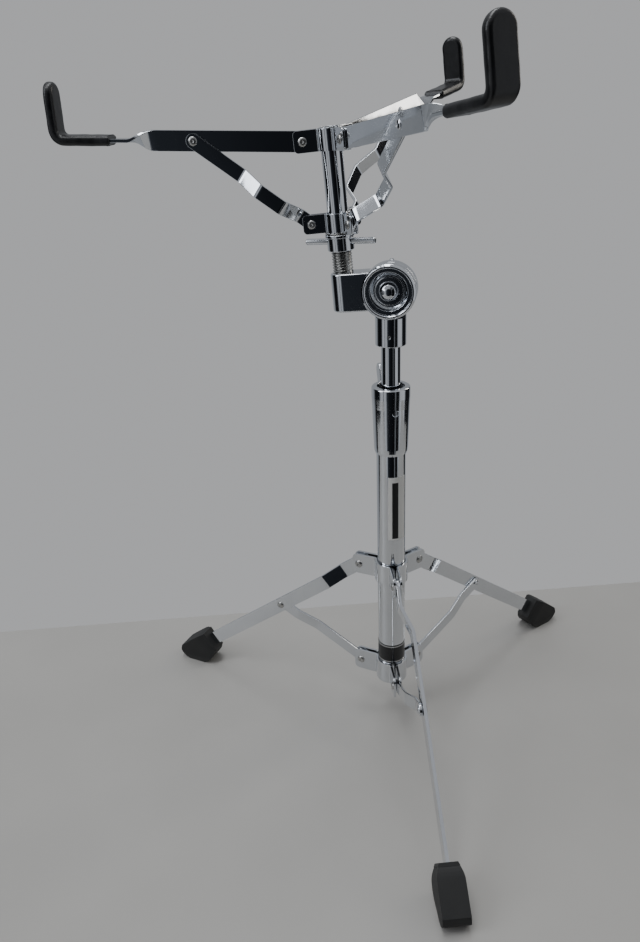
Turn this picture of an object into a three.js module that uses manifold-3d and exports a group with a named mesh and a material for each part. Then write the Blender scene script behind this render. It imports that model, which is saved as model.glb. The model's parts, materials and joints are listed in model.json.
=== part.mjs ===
// Folding snare drum stand: tripod base, height tube, tilting head and a three-arm basket.
// Millimetres, +Z up, the front leg along -Y.
import * as THREE from 'three';
import { mergeVertices } from 'three/addons/utils/BufferGeometryUtils.js';
import Module from 'manifold-3d';

const wasm = await Module();
wasm.setup();

// ---------------------------------------------------------------- driving dimensions
const RUN = 0.3;          // clearance each side of anything that moves
const FIT = 0.05;         // clearance of pressed and glued fits
const FILM = 0.16;        // thickness of the band and the label

const BASE_R = 12.7;      // base tube, outside radius
const BASE_WALL = 1.2;
const BASE_Z = [40, 322]; // base tube, bottom and top
const UP_R = 8.0;         // upper tube, outside radius
const UP_WALL = 1.2;
const UP_LOW = 100;       // lower end of the upper tube, hidden inside the base tube
const BUSH_Z = [288, 334];
const BAND_Z = [61.5, 82];
const LABEL_Z = [198, 259.5];
const LABEL_HALF = 38;    // half the label's angle round the tube, degrees
const LABEL_TURN = 17;
const BOLT_R = 3;         // every wing bolt
const HUB_GAP = 1;        // how far a boss or an ear is rooted in its wall

const LEG_HIGH = 161;     // height of the leg pivots
const LEG_LOW = 49.5;     // height of the leg brace pivots
const LEG_PIVOT_R = 31;   // both rows of pivots, from the stand's axis
const LEG_COLLAR_WALL = 3.3;
const LEG_COLLAR_HIGH_H = 20;
const LEG_COLLAR_LOW_H = 22;
const LEG_PIN_R = 2.1;
const LEG_PIN_HEAD = 3.7;
const EAR_END = 6.5;      // ears, past their pivot
const LEG_W = 14;
const LEG_T = 3;
const LEG_SHIFT = 8;      // sideways set of each leg past its collar ears
const LEG_ENTRY = 227;    // along the leg, pivot to the mouth of the rubber foot
const LEG_IN_FOOT = 22;
const FOOT_MOUTH_UP = 23.44; // middle of the foot's mouth, over the floor
const LEG_DROP = Math.asin((LEG_HIGH - FOOT_MOUTH_UP) / LEG_ENTRY) * 180 / Math.PI; // slope under level
const LEG_BRACE_AT = 107.5;
const LEG_BRACE_W = 11;
const LEG_BRACE_T = 2.5;
const FOOT_T = 20;        // rubber foot, side to side
const FOOT_H = 21;        // rubber foot, across its mouth
const FOOT_L = 33;

const CLAMP_Z = [279.4, 339.3];
const CLAMP_WALL = 3.6;
const CLAMP_R = BASE_R + CLAMP_WALL;
const CLAMP_BOLT_Z = 318;
const CLAMP_BOLT_TURN = 96;

const TILT_Z = 419;       // height of the tilt axis
const DISC_R = 21.5;
const DISC_Y = [-17, 5];  // front and back of the tilter
const SEAM_Y = -6;        // where the two halves of the tilter meet
const SOCKET_WALL = 4.65;
const SOCKET_R = UP_R + SOCKET_WALL;
const SOCKET_Z = 374;
const SWIVEL_REST = -16;  // the head's turn about the stand's axis
const TILT_REST = 3.4;    // the basket's lean, degrees

const BASKET_X = -35.5;   // basket axis from the tilt axis
const BASKET_Y = -5;
const BASKET_LEAN = 3.5;  // forward lean of the threaded rod in its block, degrees
const BASKET_TURN = 6.2;  // turn of the basket arms about the basket axis
const BLOCK_WALL = 2.5;
const BLOCK_R = UP_R + BLOCK_WALL;
const BLOCK_Z = [405, 435];
const THREAD_PITCH = 2.2;
const THREAD_TOP = 466.2;
const NUT_Z = [452.5, 465];
const NUT_WALL = 2.4;
const NUT_R = UP_R + NUT_WALL;
const NUT_PIN_REACH = 29;
const NUT_PIN_R = 2.4;
const WASHER_T = 1.2;

const COLLAR_LOW_H = 14;  // sliding basket collar
const COLLAR_HIGH_H = 15.2;
const ARM_PIVOT_R = 20.5;
const ARM_PIN_R = 1.9;
const ARM_PIN_HEAD = 3.3;
const ARM_HEAD_HIGH = 1.1;
const TWIST_AT = 107;     // where an arm starts to turn from on edge to flat
const TWIST_LONG = 24;
const ARM_RISE = 58.4;    // basket pivots, lower row to upper row
const ARM_UP = 6.4;       // slope of the arms, degrees over level
const ARM_W = 14.5;
const ARM_T = 2.5;
const ARM_BRACE_AT = 81;
const ARM_BRACE_W = 10.5;
const ARM_BRACE_T = 2.2;
const ARM_BOW = 15;       // sideways bow of the basket braces
const ARM_CORNER = 184.5; // along the arm, pivot to the upright finger
const FINGER_H = 35;
const CORNER_R = 7;
const SLEEVE_AT = 142;
const SLEEVE_W = 18.5;
const SLEEVE_T = 7.2;

const ROUND = 32;         // facets of the large round parts
const SMALL = 12;         // facets of rivets and their holes

// ---------------------------------------------------------------- finishes
const finish = (color, roughness, metalness) =>
  new THREE.MeshStandardMaterial({ color, roughness, metalness });
const CHROME = finish(0xd4d7da, 0.12, 1);
const ZINC = finish(0xaeb1b3, 0.35, 1);
const RUBBER = finish(0x141516, 0.8, 0);
const VINYL = finish(0x0e0f11, 0.35, 0);
const NYLON = finish(0x1c1d1f, 0.5, 0);
const BADGE = finish(0x101012, 0.3, 0);
const PAPER = finish(0xf0f0ec, 0.7, 0);

// ---------------------------------------------------------------- solids
const rad = (d) => (d * Math.PI) / 180;

// A closed manifold from any closed geometry, turned to face outward.
function solid(geometry) {
  const bare = geometry.clone();
  bare.deleteAttribute('normal');
  bare.deleteAttribute('uv');
  const g = mergeVertices(bare, 1e-4);
  const p = g.attributes.position;
  const index = g.index.array;
  const tris = [];
  let volume = 0;
  const [a, b, c] = [new THREE.Vector3(), new THREE.Vector3(), new THREE.Vector3()];
  for (let i = 0; i < index.length; i += 3) {
    const [x, y, z] = [index[i], index[i + 1], index[i + 2]];
    if (x === y || y === z || z === x) continue;
    tris.push(x, y, z);
    a.fromBufferAttribute(p, x);
    b.fromBufferAttribute(p, y);
    c.fromBufferAttribute(p, z);
    volume += a.dot(b.cross(c));
  }
  if (volume < 0) for (let i = 0; i < tris.length; i += 3) [tris[i], tris[i + 1]] = [tris[i + 1], tris[i]];
  return new wasm.Manifold(new wasm.Mesh({
    numProp: 3,
    vertProperties: new Float32Array(p.array),
    triVerts: new Uint32Array(tris),
  }));
}

function toGeometry(body) {
  const m = body.getMesh();
  const g = new THREE.BufferGeometry();
  g.setAttribute('position', new THREE.BufferAttribute(new Float32Array(m.vertProperties), 3));
  g.setIndex(new THREE.BufferAttribute(new Uint32Array(m.triVerts), 1));
  g.computeVertexNormals();
  return g;
}

const join = (...bodies) => bodies.reduce((a, b) => a.add(b));
const cut = (body, ...tools) => tools.reduce((a, b) => a.subtract(b), body);

const move = (x, y, z) => new THREE.Matrix4().makeTranslation(x, y, z);
const turnX = (d) => new THREE.Matrix4().makeRotationX(rad(d));
const turnY = (d) => new THREE.Matrix4().makeRotationY(rad(d));
const turnZ = (d) => new THREE.Matrix4().makeRotationZ(rad(d));
const put = (body, ...matrices) =>
  body.transform(matrices.reduce((a, b) => a.multiply(b), new THREE.Matrix4()).elements);

// Turned part about Z from [radius, z] pairs.
function lathe(pairs, facets = ROUND) {
  const points = pairs.map(([r, z]) => new THREE.Vector2(r, z));
  if (pairs[0][0] > 0 || pairs[pairs.length - 1][0] > 0) points.push(points[0].clone());
  return solid(new THREE.LatheGeometry(points, facets).rotateX(Math.PI / 2));
}
const rod = (r, z0, z1, facets = ROUND) => lathe([[0, z0], [r, z0], [r, z1], [0, z1]], facets);
const tube = (r, bore, z0, z1, facets = ROUND) =>
  lathe([[bore, z0], [r, z0], [r, z1], [bore, z1]], facets);
// A round bar along Y.
const barY = (r, y0, y1, facets = ROUND) => put(rod(r, y0, y1, facets), turnX(-90));
const box = (x0, x1, y0, y1, z0, z1) => solid(
  new THREE.BoxGeometry(x1 - x0, y1 - y0, z1 - z0)
    .translate((x0 + x1) / 2, (y0 + y1) / 2, (z0 + z1) / 2));

// A flat outline [x, z] made into a plate lying across Y.
function plate(outline, y0, y1) {
  const shape = new THREE.Shape(outline.map(([x, z]) => new THREE.Vector2(x, z)));
  const g = new THREE.ExtrudeGeometry(shape, { depth: y1 - y0, bevelEnabled: false });
  return put(solid(g), move(0, y1, 0), turnX(90));
}
// A flat outline [x, y] made into a plate lying across Z.
function slab(outline, z0, z1) {
  const shape = new THREE.Shape(outline.map(([x, y]) => new THREE.Vector2(x, y)));
  const g = new THREE.ExtrudeGeometry(shape, { depth: z1 - z0, bevelEnabled: false });
  return put(solid(g), move(0, 0, z0));
}

// Outline of a bar with round ends, from (x0, z0) to (x1, z1).
function capsule(x0, z0, x1, z1, r0, r1 = r0, steps = 8) {
  const along = Math.atan2(z1 - z0, x1 - x0);
  const out = [];
  for (let i = 0; i <= steps; i++) {
    const a = along - Math.PI / 2 + (Math.PI * i) / steps;
    out.push([x1 + r1 * Math.cos(a), z1 + r1 * Math.sin(a)]);
  }
  for (let i = 0; i <= steps; i++) {
    const a = along + Math.PI / 2 + (Math.PI * i) / steps;
    out.push([x0 + r0 * Math.cos(a), z0 + r0 * Math.sin(a)]);
  }
  return out;
}

// Outline of a bent strip seen on its edge: [s, sideways] bends, constant thickness.
function bent(bends, thick) {
  const side = (sign) => bends.map(([s, t], i) => {
    const before = bends[Math.max(i - 1, 0)];
    const after = bends[Math.min(i + 1, bends.length - 1)];
    const a = Math.atan2(t - before[1], s - before[0] || 1e-9);
    const b = Math.atan2(after[1] - t, after[0] - s || 1e-9);
    const [first, last] = [i === 0 ? b : a, i === bends.length - 1 ? a : b];
    const mid = (first + last) / 2;
    const reach = thick / 2 / Math.cos((last - first) / 2);
    return [s - sign * reach * Math.sin(mid), t + sign * reach * Math.cos(mid)];
  });
  return [...side(-1), ...side(1).reverse()];
}

// Strip on edge along X: round ends about both pivots, bent sideways (Y), holes at the given stations.
function strip(length, width, thick, bends, holes, roundEnd = true) {
  const far = length + width;
  const path = [[-width, bends[0][1]], ...bends, [far, bends[bends.length - 1][1]]];
  const body = slab(bent(path, thick), -width, width);
  const outline = roundEnd ? capsule(0, 0, length, 0, width / 2)
    : [...capsule(0, 0, 1, 0, width / 2).slice(9), [length, -width / 2], [length, width / 2]];
  const side = plate(outline, -60, 60);
  return cut(body.intersect(side), ...holes.map(([s, r]) => put(barY(r, -60, 60, SMALL), move(s, 0, 0))));
}

// Skin over a row of equal rings, closed at both ends.
function loft(rings) {
  const n = rings[0].length;
  const at = rings.flat().flatMap((v) => v.toArray());
  const tris = [];
  for (let i = 0; i + 1 < rings.length; i++) {
    for (let j = 0; j < n; j++) {
      const [a, b] = [i * n + j, i * n + ((j + 1) % n)];
      tris.push(a, b, b + n, a, b + n, a + n);
    }
  }
  const last = (rings.length - 1) * n;
  for (let j = 1; j + 1 < n; j++) tris.push(0, j + 1, j, last, last + j, last + j + 1);
  const g = new THREE.BufferGeometry();
  g.setAttribute('position', new THREE.BufferAttribute(new Float32Array(at), 3));
  g.setIndex(tris);
  return solid(g);
}

// Pivot rivet along Y with a low domed head at each end.
function rivet(r, reach, head, high = 1.3) {
  const dome = [[head, reach], [head * 0.72, reach + high * 0.8], [0, reach + high]];
  const half = [...dome.slice().reverse().map(([a, z]) => [a, -z]), [r, -reach], [r, reach], ...dome];
  return put(lathe(half, SMALL), turnX(-90));
}
// The same rivet's fixed half: head on the +Y side, shank ending flush.
function stud(r, y0, y1, head, high = 1.3) {
  const half = [[0, y0], [r, y0], [r, y1], [head, y1], [head * 0.72, y1 + high * 0.8], [0, y1 + high]];
  return put(lathe(half, SMALL), turnX(-90));
}

// Sheet collar with three pairs of ears; `turns` are their directions about Z.
function collar({ bore, outer, z, high, pivot, end, gap, ear, pin, turns, corner }) {
  const [z0, z1] = [z - high / 2, z + high / 2];
  let body = tube(outer, bore, z0, z1);
  const c = corner;
  const root = bore + HUB_GAP;
  const outline = [[root, z0], [end - c, z0], [end - c * 0.3, z0 + c * 0.3], [end, z0 + c],
    [end, z1 - c], [end - c * 0.3, z1 - c * 0.3], [end - c, z1], [root, z1]];
  for (const turn of turns) {
    body = body.add(put(plate(outline, -gap - ear, gap + ear), turnZ(turn)));
  }
  for (const turn of turns) {
    body = cut(body, put(box(outer, end + 5, -gap, gap, z0 - 1, z1 + 1), turnZ(turn)));
    body = cut(body, put(barY(pin + FIT, -12, 12, SMALL), turnZ(turn), move(pivot, 0, z)));
  }
  return cut(body, rod(bore, z0 - 1, z1 + 1));
}

// Cast wing with its hub along Y from y0, the lobes up and down.
function wings({ hub, y0, y1, span, lobe, thick, reach }) {
  const lobes = [1, -1].map((s) => put(
    plate(capsule(0, 0, reach, s * (span - lobe), hub * 0.75, lobe), -thick / 2, thick / 2),
    move(0, y0 + hub * 0.9, 0), turnZ(90)));
  return join(barY(hub, y0, y1, 24), ...lobes);
}

// ---------------------------------------------------------------- assembly
const group = new THREE.Group();
function add(name, body, material) {
  const mesh = new THREE.Mesh(toGeometry(body), material);
  mesh.name = name;
  group.add(mesh);
}

const LEG_TURNS = { front: -90, right: 30, left: 150 };
const RIM = [LEG_TURNS.front, LEG_TURNS.right, LEG_TURNS.left];

// ---- base
const baseBore = BASE_R - BASE_WALL;
const boltHole = (r, from) => put(barY(r, from, CLAMP_R + 24, 20), move(0, 0, CLAMP_BOLT_Z));
const clampTurn = turnZ(CLAMP_BOLT_TURN - 90);
const tubeHole = put(boltHole(BOLT_R + 2 * RUN, 0), clampTurn);
add('base_tube', cut(tube(BASE_R, baseBore, ...BASE_Z), tubeHole), CHROME);

const collarOuter = BASE_R + LEG_COLLAR_WALL;
const legEar = { outer: collarOuter, pivot: LEG_PIVOT_R, end: LEG_PIVOT_R + EAR_END, ear: 2.2, pin: LEG_PIN_R,
  turns: RIM, corner: 5 };
const legGap = LEG_T / 2 + RUN;
const legBraceGap = LEG_BRACE_T / 2 + RUN;
const collarBore = BASE_R + FIT + FILM + 0.14;
const bossEnd = collarOuter + 5;
const slideBolt = (r, y0, y1) => put(barY(r, y0, y1, 20), move(0, 0, LEG_HIGH));
const slideBoss = cut(slideBolt(5.6, collarBore + HUB_GAP, bossEnd),
  rod(collarBore, LEG_HIGH - LEG_COLLAR_HIGH_H, LEG_HIGH + LEG_COLLAR_HIGH_H));
add('upper_leg_collar', cut(
  join(collar({ ...legEar, bore: collarBore, z: LEG_HIGH, high: LEG_COLLAR_HIGH_H, gap: legGap }), slideBoss),
  slideBolt(BOLT_R + RUN, 0, bossEnd + 9)), CHROME);
add('lower_leg_collar',
  collar({ ...legEar, bore: BASE_R + FIT, z: LEG_LOW, high: LEG_COLLAR_LOW_H, gap: legBraceGap }), CHROME);
const slideWings = wings({ hub: 5.4, y0: bossEnd + RUN, y1: bossEnd + 9, span: 18, lobe: 5, thick: 3,
  reach: 6 });
add('leg_collar_wing_bolt', put(join(barY(BOLT_R, collarBore + 0.1, bossEnd + 3, 20), slideWings),
  move(0, 0, LEG_HIGH)), CHROME);

// Badge band round the foot of the tube, and the data label higher up.
const film = (z0, z1) => tube(BASE_R + FIT + FILM, BASE_R + FIT, z0, z1);
const wedge = (half, z0, z1) => {
  const [far, side] = [-3 * BASE_R, 3 * BASE_R * Math.tan(rad(half))];
  return slab([[0, 0], [-side, far], [side, far]], z0, z1);
};
add('badge_band', film(...BAND_Z), BADGE);
add('label_sticker', film(...LABEL_Z).intersect(
  put(wedge(LABEL_HALF, LABEL_Z[0] - 8, LABEL_Z[1] + 8), turnZ(LABEL_TURN))), PAPER);

// ---- legs
const drop = rad(LEG_DROP);
const legShiftIn = 21;
const legShiftOut = 43;
const braceEnd = [LEG_PIVOT_R + LEG_BRACE_AT * Math.cos(drop), LEG_HIGH - LEG_BRACE_AT * Math.sin(drop)];
const legBraceL = Math.hypot(braceEnd[0] - LEG_PIVOT_R, braceEnd[1] - LEG_LOW);
const legBraceRise = Math.atan2(braceEnd[1] - LEG_LOW, braceEnd[0] - LEG_PIVOT_R) * 180 / Math.PI;
const legBraceSide = LEG_SHIFT - LEG_T / 2 - RUN - LEG_BRACE_T / 2;
const legFace = LEG_SHIFT + LEG_T / 2;

// Side outline of the foot, standing on z = 0.
const entry = [LEG_PIVOT_R + LEG_ENTRY * Math.cos(drop), LEG_HIGH - LEG_ENTRY * Math.sin(drop)];
const onFoot = (s, p) => [entry[0] + s * Math.cos(drop) + p * Math.sin(drop),
  entry[1] - s * Math.sin(drop) + p * Math.cos(drop)];
const mouthLow = onFoot(0, -FOOT_H / 2);
const toeHigh = onFoot(FOOT_L, FOOT_H / 2);
const soleIn = mouthLow[0] + 14;
const soleOut = toeHigh[0] - 11;
const footOutline = [onFoot(0, FOOT_H / 2), mouthLow,
  [mouthLow[0] + 3.6, mouthLow[1] * 0.52], [mouthLow[0] + 8.4, mouthLow[1] * 0.17],
  [soleIn, 0], [soleOut, 0], [soleOut + 6, toeHigh[1] * 0.2], [toeHigh[0] - 1.2, toeHigh[1] * 0.66],
  toeHigh];

function legSet(name, turn) {
  const spin = turnZ(turn);
  const pivot = move(LEG_PIVOT_R, 0, LEG_HIGH);
  const legEnd = LEG_ENTRY + LEG_IN_FOOT;
  const bends = [[legShiftIn, 0], [legShiftOut, LEG_SHIFT]];
  const leg = strip(legEnd, LEG_W, LEG_T, bends,
    [[0, LEG_PIN_R + RUN], [LEG_BRACE_AT, LEG_PIN_R + FIT]], false);
  const sloped = put(leg, pivot, turnY(LEG_DROP));
  add(`leg_${name}`, put(sloped, spin), CHROME);

  const clear = 0.1;
  const pocket = put(box(LEG_ENTRY - 20, legEnd + clear, LEG_SHIFT - LEG_T / 2 - clear, legFace + clear,
    -LEG_W / 2 - clear, LEG_W / 2 + clear), pivot, turnY(LEG_DROP));
  const foot = plate(footOutline, LEG_SHIFT - FOOT_T / 2, LEG_SHIFT + FOOT_T / 2);
  add(`foot_${name}`, put(cut(foot, pocket), spin), RUBBER);

  const braceBends = [[legBraceL - 42, 0], [legBraceL - 20, legBraceSide]];
  const flat = strip(legBraceL, LEG_BRACE_W, LEG_BRACE_T, braceBends, [[0, LEG_PIN_R + RUN]]);
  const tail = put(stud(1.6, LEG_BRACE_T / 2 - 2, LEG_BRACE_T / 2 - 0.1, 3.6), turnZ(180));
  const brace = join(flat, put(tail, move(legBraceL, legBraceSide, 0)));
  add(`leg_brace_${name}`, put(brace, spin, move(LEG_PIVOT_R, 0, LEG_LOW), turnY(-legBraceRise)), CHROME);

  const upperReach = legGap + legEar.ear + FIT;
  const lowerReach = legBraceGap + legEar.ear + FIT;
  add(`leg_rivet_${name}`, put(rivet(LEG_PIN_R, upperReach, LEG_PIN_HEAD), spin, pivot), ZINC);
  add(`brace_rivet_${name}`, put(rivet(LEG_PIN_R, lowerReach, LEG_PIN_HEAD), spin,
    move(LEG_PIVOT_R, 0, LEG_LOW)), ZINC);
  const joint = stud(LEG_PIN_R, LEG_SHIFT - LEG_T / 2, legFace + FIT, LEG_PIN_HEAD);
  add(`leg_joint_rivet_${name}`, put(joint, spin, pivot, turnY(LEG_DROP), move(LEG_BRACE_AT, 0, 0)), ZINC);
}
for (const [name, turn] of Object.entries(LEG_TURNS)) legSet(name, turn);

// ---- height clamp on the base tube, and the upper tube
const lip = BASE_Z[1] + 0.4;
const mouth = baseBore + 0.1;
const [c0, c1] = CLAMP_Z;
const barrel = lathe([[BASE_R + FIT, c0], [BASE_R + 0.9, c0], [BASE_R + 1.7, c0 + 2.4], [BASE_R + 2, c0 + 6],
  [CLAMP_R - 0.5, c1 - 18], [CLAMP_R, c1 - 9], [CLAMP_R, c1 - 2.2], [CLAMP_R - 0.8, c1 - 0.5],
  [CLAMP_R - 1.8, c1], [mouth, c1], [mouth, lip], [BASE_R + FIT, lip]]);
const clampBossEnd = CLAMP_R + 5.7;
const boss = cut(put(barY(6.4, BASE_R + HUB_GAP, clampBossEnd, 24), move(0, 0, CLAMP_BOLT_Z)),
  rod(BASE_R + HUB_GAP, c0, c1));
const recess = put(barY(2.9, -CLAMP_R - 14, -CLAMP_R + 2.3, 16), move(0, 0, CLAMP_BOLT_Z + 1));
add('height_clamp', cut(join(barrel, put(boss, clampTurn)),
  put(join(boltHole(BOLT_R + RUN, 5), recess), clampTurn)), CHROME);
const clampWings = wings({ hub: 5.8, y0: clampBossEnd + RUN, y1: clampBossEnd + 11, span: 30, lobe: 6.5,
  thick: 3.4, reach: 9 });
add('clamp_wing_bolt', put(join(barY(BOLT_R, baseBore + RUN, clampBossEnd + 2, 20), clampWings),
  clampTurn, move(0, 0, CLAMP_BOLT_Z)), CHROME);
add('nylon_bush', tube(baseBore - FIT, UP_R + RUN, ...BUSH_Z), NYLON);
const neckTop = TILT_Z - DISC_R - RUN - 0.1;
const upTop = neckTop - 5.6;
add('upper_tube', tube(UP_R, UP_R - UP_WALL, UP_LOW, upTop), CHROME);

// ---- tilter
const head = turnZ(SWIVEL_REST);
const [d0, d1] = DISC_Y;
const tiltAt = move(0, 0, TILT_Z);
const neck = join(
  cut(rod(SOCKET_R, SOCKET_Z, TILT_Z - 7), box(-30, 30, -30, SEAM_Y + RUN / 2, neckTop, TILT_Z + 30),
    box(-30, 30, d1, 30, neckTop, TILT_Z + 30)),
  put(barY(DISC_R, SEAM_Y + RUN / 2, d1), tiltAt));
const socketBore = rod(UP_R + FIT, SOCKET_Z - 1, upTop + 0.5);
const pinY = UP_R + 1.2;
const socketPinR = 1.6;
const socketPinAt = move(0, 0, SOCKET_Z + 8.5);
const socketPinHole = put(barY(socketPinR, -SOCKET_R - 2, -pinY, 16), socketPinAt);
const tiltHole = put(barY(BOLT_R + RUN, -30, 30, 24), tiltAt);
add('tilter_socket', put(cut(neck, socketBore, socketPinHole, tiltHole), head), CHROME);
add('socket_pin', put(barY(socketPinR - FIT, -SOCKET_R + 0.6, -pinY - FIT, 16), head, socketPinAt), ZINC);

// The moving half: dished disc in front, arm and block on its left.
const tilt = [head, tiltAt, turnY(-TILT_REST), move(0, 0, -TILT_Z)];
const floorY = -9.8;
const tiltBore = BOLT_R + RUN;
const dish = put(lathe([[tiltBore, SEAM_Y - RUN / 2], [DISC_R, SEAM_Y - RUN / 2], [DISC_R, d0 + 1.2],
  [DISC_R - 1, d0 + 0.3], [DISC_R - 2, d0], [18.7, d0], [18.2, d0 + 0.8], [18.2, -13.2],
  [15.4, -13.2], [15.2, -14], [11.6, floorY], [tiltBore, floorY]].map(([r, y]) => [r, -y])), turnX(90));
const plan = [[-2, BASKET_Y - BLOCK_R], [-2, BASKET_Y + BLOCK_R]];
for (let i = 0; i <= 16; i++) {
  const a = Math.PI / 2 + (Math.PI * i) / 16;
  plan.push([BASKET_X + BLOCK_R * Math.cos(a), BASKET_Y + BLOCK_R * Math.sin(a)]);
}
const rodMid = (BLOCK_Z[0] + BLOCK_Z[1]) / 2;
const rodAt = [move(BASKET_X, BASKET_Y, rodMid), turnX(BASKET_LEAN), move(0, 0, -rodMid)];
const arm = cut(slab(plan, ...BLOCK_Z), put(barY(DISC_R - 1.4, -30, 30), tiltAt),
  put(barY(DISC_R + RUN + 0.1, SEAM_Y - RUN / 2, 30), tiltAt),
  put(rod(UP_R + FIT, BLOCK_Z[0] + 2, BLOCK_Z[1] + 1), ...rodAt));
add('tilter_head', put(join(put(dish, tiltAt), arm), ...tilt), CHROME);
const cap = [[0, -5.4], [2.6, -5], [5, -3.9], [6.9, -2.1], [7.7, 0], [7.7, 0.9], [10.8, 1], [10.8, 1.8]];
const boltTip = d1 + 12.5;
const capDown = floorY - 1.8 - FIT;
const tiltBolt = lathe([...cap.map(([r, y]) => [r, y + capDown]), [BOLT_R, floorY - FIT], [BOLT_R, boltTip],
  [0, boltTip]]);
add('tilter_bolt', put(tiltBolt, ...tilt, tiltAt, turnX(-90)), CHROME);
const nutWings = wings({ hub: 6, y0: d1 + RUN, y1: d1 + 10.5, span: 20.5, lobe: 5.5, thick: 3.4, reach: 7 });
add('tilter_wing_nut', put(cut(nutWings, barY(tiltBore, 0, 60, 24)), ...tilt, tiltAt), CHROME);

// ---- basket, built upright about its own axis and then set in place
const basket = [...tilt, ...rodAt];
const rodLow = BLOCK_Z[0] + 2.2;
const thread = [[0, rodLow], [UP_R, rodLow], [UP_R, BLOCK_Z[1] - 1]];
for (let z = BLOCK_Z[1]; z + THREAD_PITCH < THREAD_TOP - 0.6; z += THREAD_PITCH) {
  thread.push([UP_R - 1, z], [UP_R, z + THREAD_PITCH / 2]);
}
const spigot = UP_R - UP_WALL - 0.1;
thread.push([UP_R - 0.9, THREAD_TOP - 0.5], [UP_R - 0.9, THREAD_TOP], [spigot, THREAD_TOP],
  [spigot, THREAD_TOP + 14], [0, THREAD_TOP + 14]);
add('threaded_rod', put(lathe(thread, 20), ...basket), ZINC);

const lowZ = NUT_Z[1] + 0.2 + WASHER_T + 0.2 + COLLAR_LOW_H / 2;
const highZ = lowZ + ARM_RISE;
const tubeTop = highZ + COLLAR_HIGH_H / 2 + 0.6;
add('basket_tube', put(tube(UP_R, UP_R - UP_WALL, THREAD_TOP + 0.1, tubeTop), ...basket), CHROME);

const nutBore = UP_R + RUN + 0.05;
const nut = lathe([[nutBore, NUT_Z[0]], [NUT_R - 0.8, NUT_Z[0]], [NUT_R, NUT_Z[0] + 0.8],
  [NUT_R, NUT_Z[1] - 2.4], [NUT_R + 1, NUT_Z[1] - 1.8], [NUT_R + 1, NUT_Z[1] - 0.5],
  [NUT_R + 0.5, NUT_Z[1]], [nutBore, NUT_Z[1]]]);
const pinZ = NUT_Z[0] + 6.5;
const pinHole = NUT_R - 1.4;
const pinTurns = { left: 167, right: -13 };
const holes = Object.values(pinTurns).map((t) =>
  put(barY(NUT_PIN_R + FIT, pinHole, 20, 20), turnZ(t - 90), move(0, 0, pinZ)));
add('t_nut', put(cut(nut, ...holes), ...basket), CHROME);
for (const [side, t] of Object.entries(pinTurns)) {
  const tip = NUT_PIN_REACH;
  const bar = put(lathe([[0, pinHole + FIT], [NUT_PIN_R, pinHole + FIT], [NUT_PIN_R, tip - 2],
    [NUT_PIN_R * 0.75, tip - 0.6], [0, tip]], 20), turnX(-90));
  add(`t_nut_pin_${side}`, put(bar, ...basket, turnZ(t - 90), move(0, 0, pinZ)), CHROME);
}
const washerZ = NUT_Z[1] + 0.2;
add('nut_washer', put(tube(NUT_R + 0.6, nutBore, washerZ, washerZ + WASHER_T), ...basket), ZINC);

const ARM_TURNS = { left: 180 + BASKET_TURN, front: 300 + BASKET_TURN, back: 60 + BASKET_TURN };
const armEar = { outer: UP_R + 2.6, pivot: ARM_PIVOT_R, end: ARM_PIVOT_R + EAR_END, ear: 1.6, pin: ARM_PIN_R,
  turns: Object.values(ARM_TURNS), corner: 3 };
const armGap = ARM_T / 2 + RUN;
const armBraceGap = ARM_BRACE_T / 2 + RUN;
add('basket_lower_collar', put(
  collar({ ...armEar, bore: UP_R + RUN, z: lowZ, high: COLLAR_LOW_H, gap: armBraceGap }), ...basket), CHROME);
add('basket_upper_collar', put(
  collar({ ...armEar, bore: UP_R + FIT, z: highZ, high: COLLAR_HIGH_H, gap: armGap }), ...basket), CHROME);

// Centre line of an arm: [s, up, twist, heading], twist 0 on edge and 90 flat.
function armPath(from, finger) {
  const out = [];
  const steps = [from];
  for (let i = 0; i <= 8; i++) steps.push(TWIST_AT + (TWIST_LONG * i) / 8);
  steps.push(SLEEVE_AT + 8, ARM_CORNER - CORNER_R);
  for (const s of steps.filter((v) => v >= from)) {
    const k = Math.min(Math.max((s - TWIST_AT) / TWIST_LONG, 0), 1);
    out.push([s, 0, 90 * (k * k * (3 - 2 * k)), 0]);
  }
  for (let i = 1; i <= 6; i++) {
    const a = (Math.PI / 2) * (i / 6);
    out.push([ARM_CORNER - CORNER_R + CORNER_R * Math.sin(a), CORNER_R - CORNER_R * Math.cos(a), 90, 15 * i]);
  }
  for (const h of finger) out.push([ARM_CORNER, h, 90, 90]);
  return out;
}
// One ring of a section; corners are cut to `ease` when it is above zero.
function ring([s, up, twist, heading], width, thick, ease) {
  const [w, h] = [width / 2, thick / 2];
  const e = Math.min(ease, w * 0.8, h * 0.95);
  const f = e * 0.3;
  const corners = e > 0
    ? [[w, -h + e], [w, h - e], [w - f, h - f], [w - e, h], [-w + e, h], [-w + f, h - f],
      [-w, h - e], [-w, -h + e], [-w + f, -h + f], [-w + e, -h], [w - e, -h], [w - f, -h + f]]
    : [[w, -h], [w, h], [-w, h], [-w, -h]];
  const tw = rad(90 - twist);
  const hd = rad(heading);
  return corners.map(([a, b]) => {
    const y = a * Math.cos(tw) - b * Math.sin(tw);
    const n = a * Math.sin(tw) + b * Math.cos(tw);
    return new THREE.Vector3(s - n * Math.sin(hd), y, up + n * Math.cos(hd));
  });
}
// Width of a finger that ends in a half circle, at height h.
const domed = (h, top, width) => {
  const r = width / 2;
  const over = Math.max(h - (top - r), 0);
  return 2 * Math.sqrt(Math.max(r * r - over * over, 0.04 * r * r));
};

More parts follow.
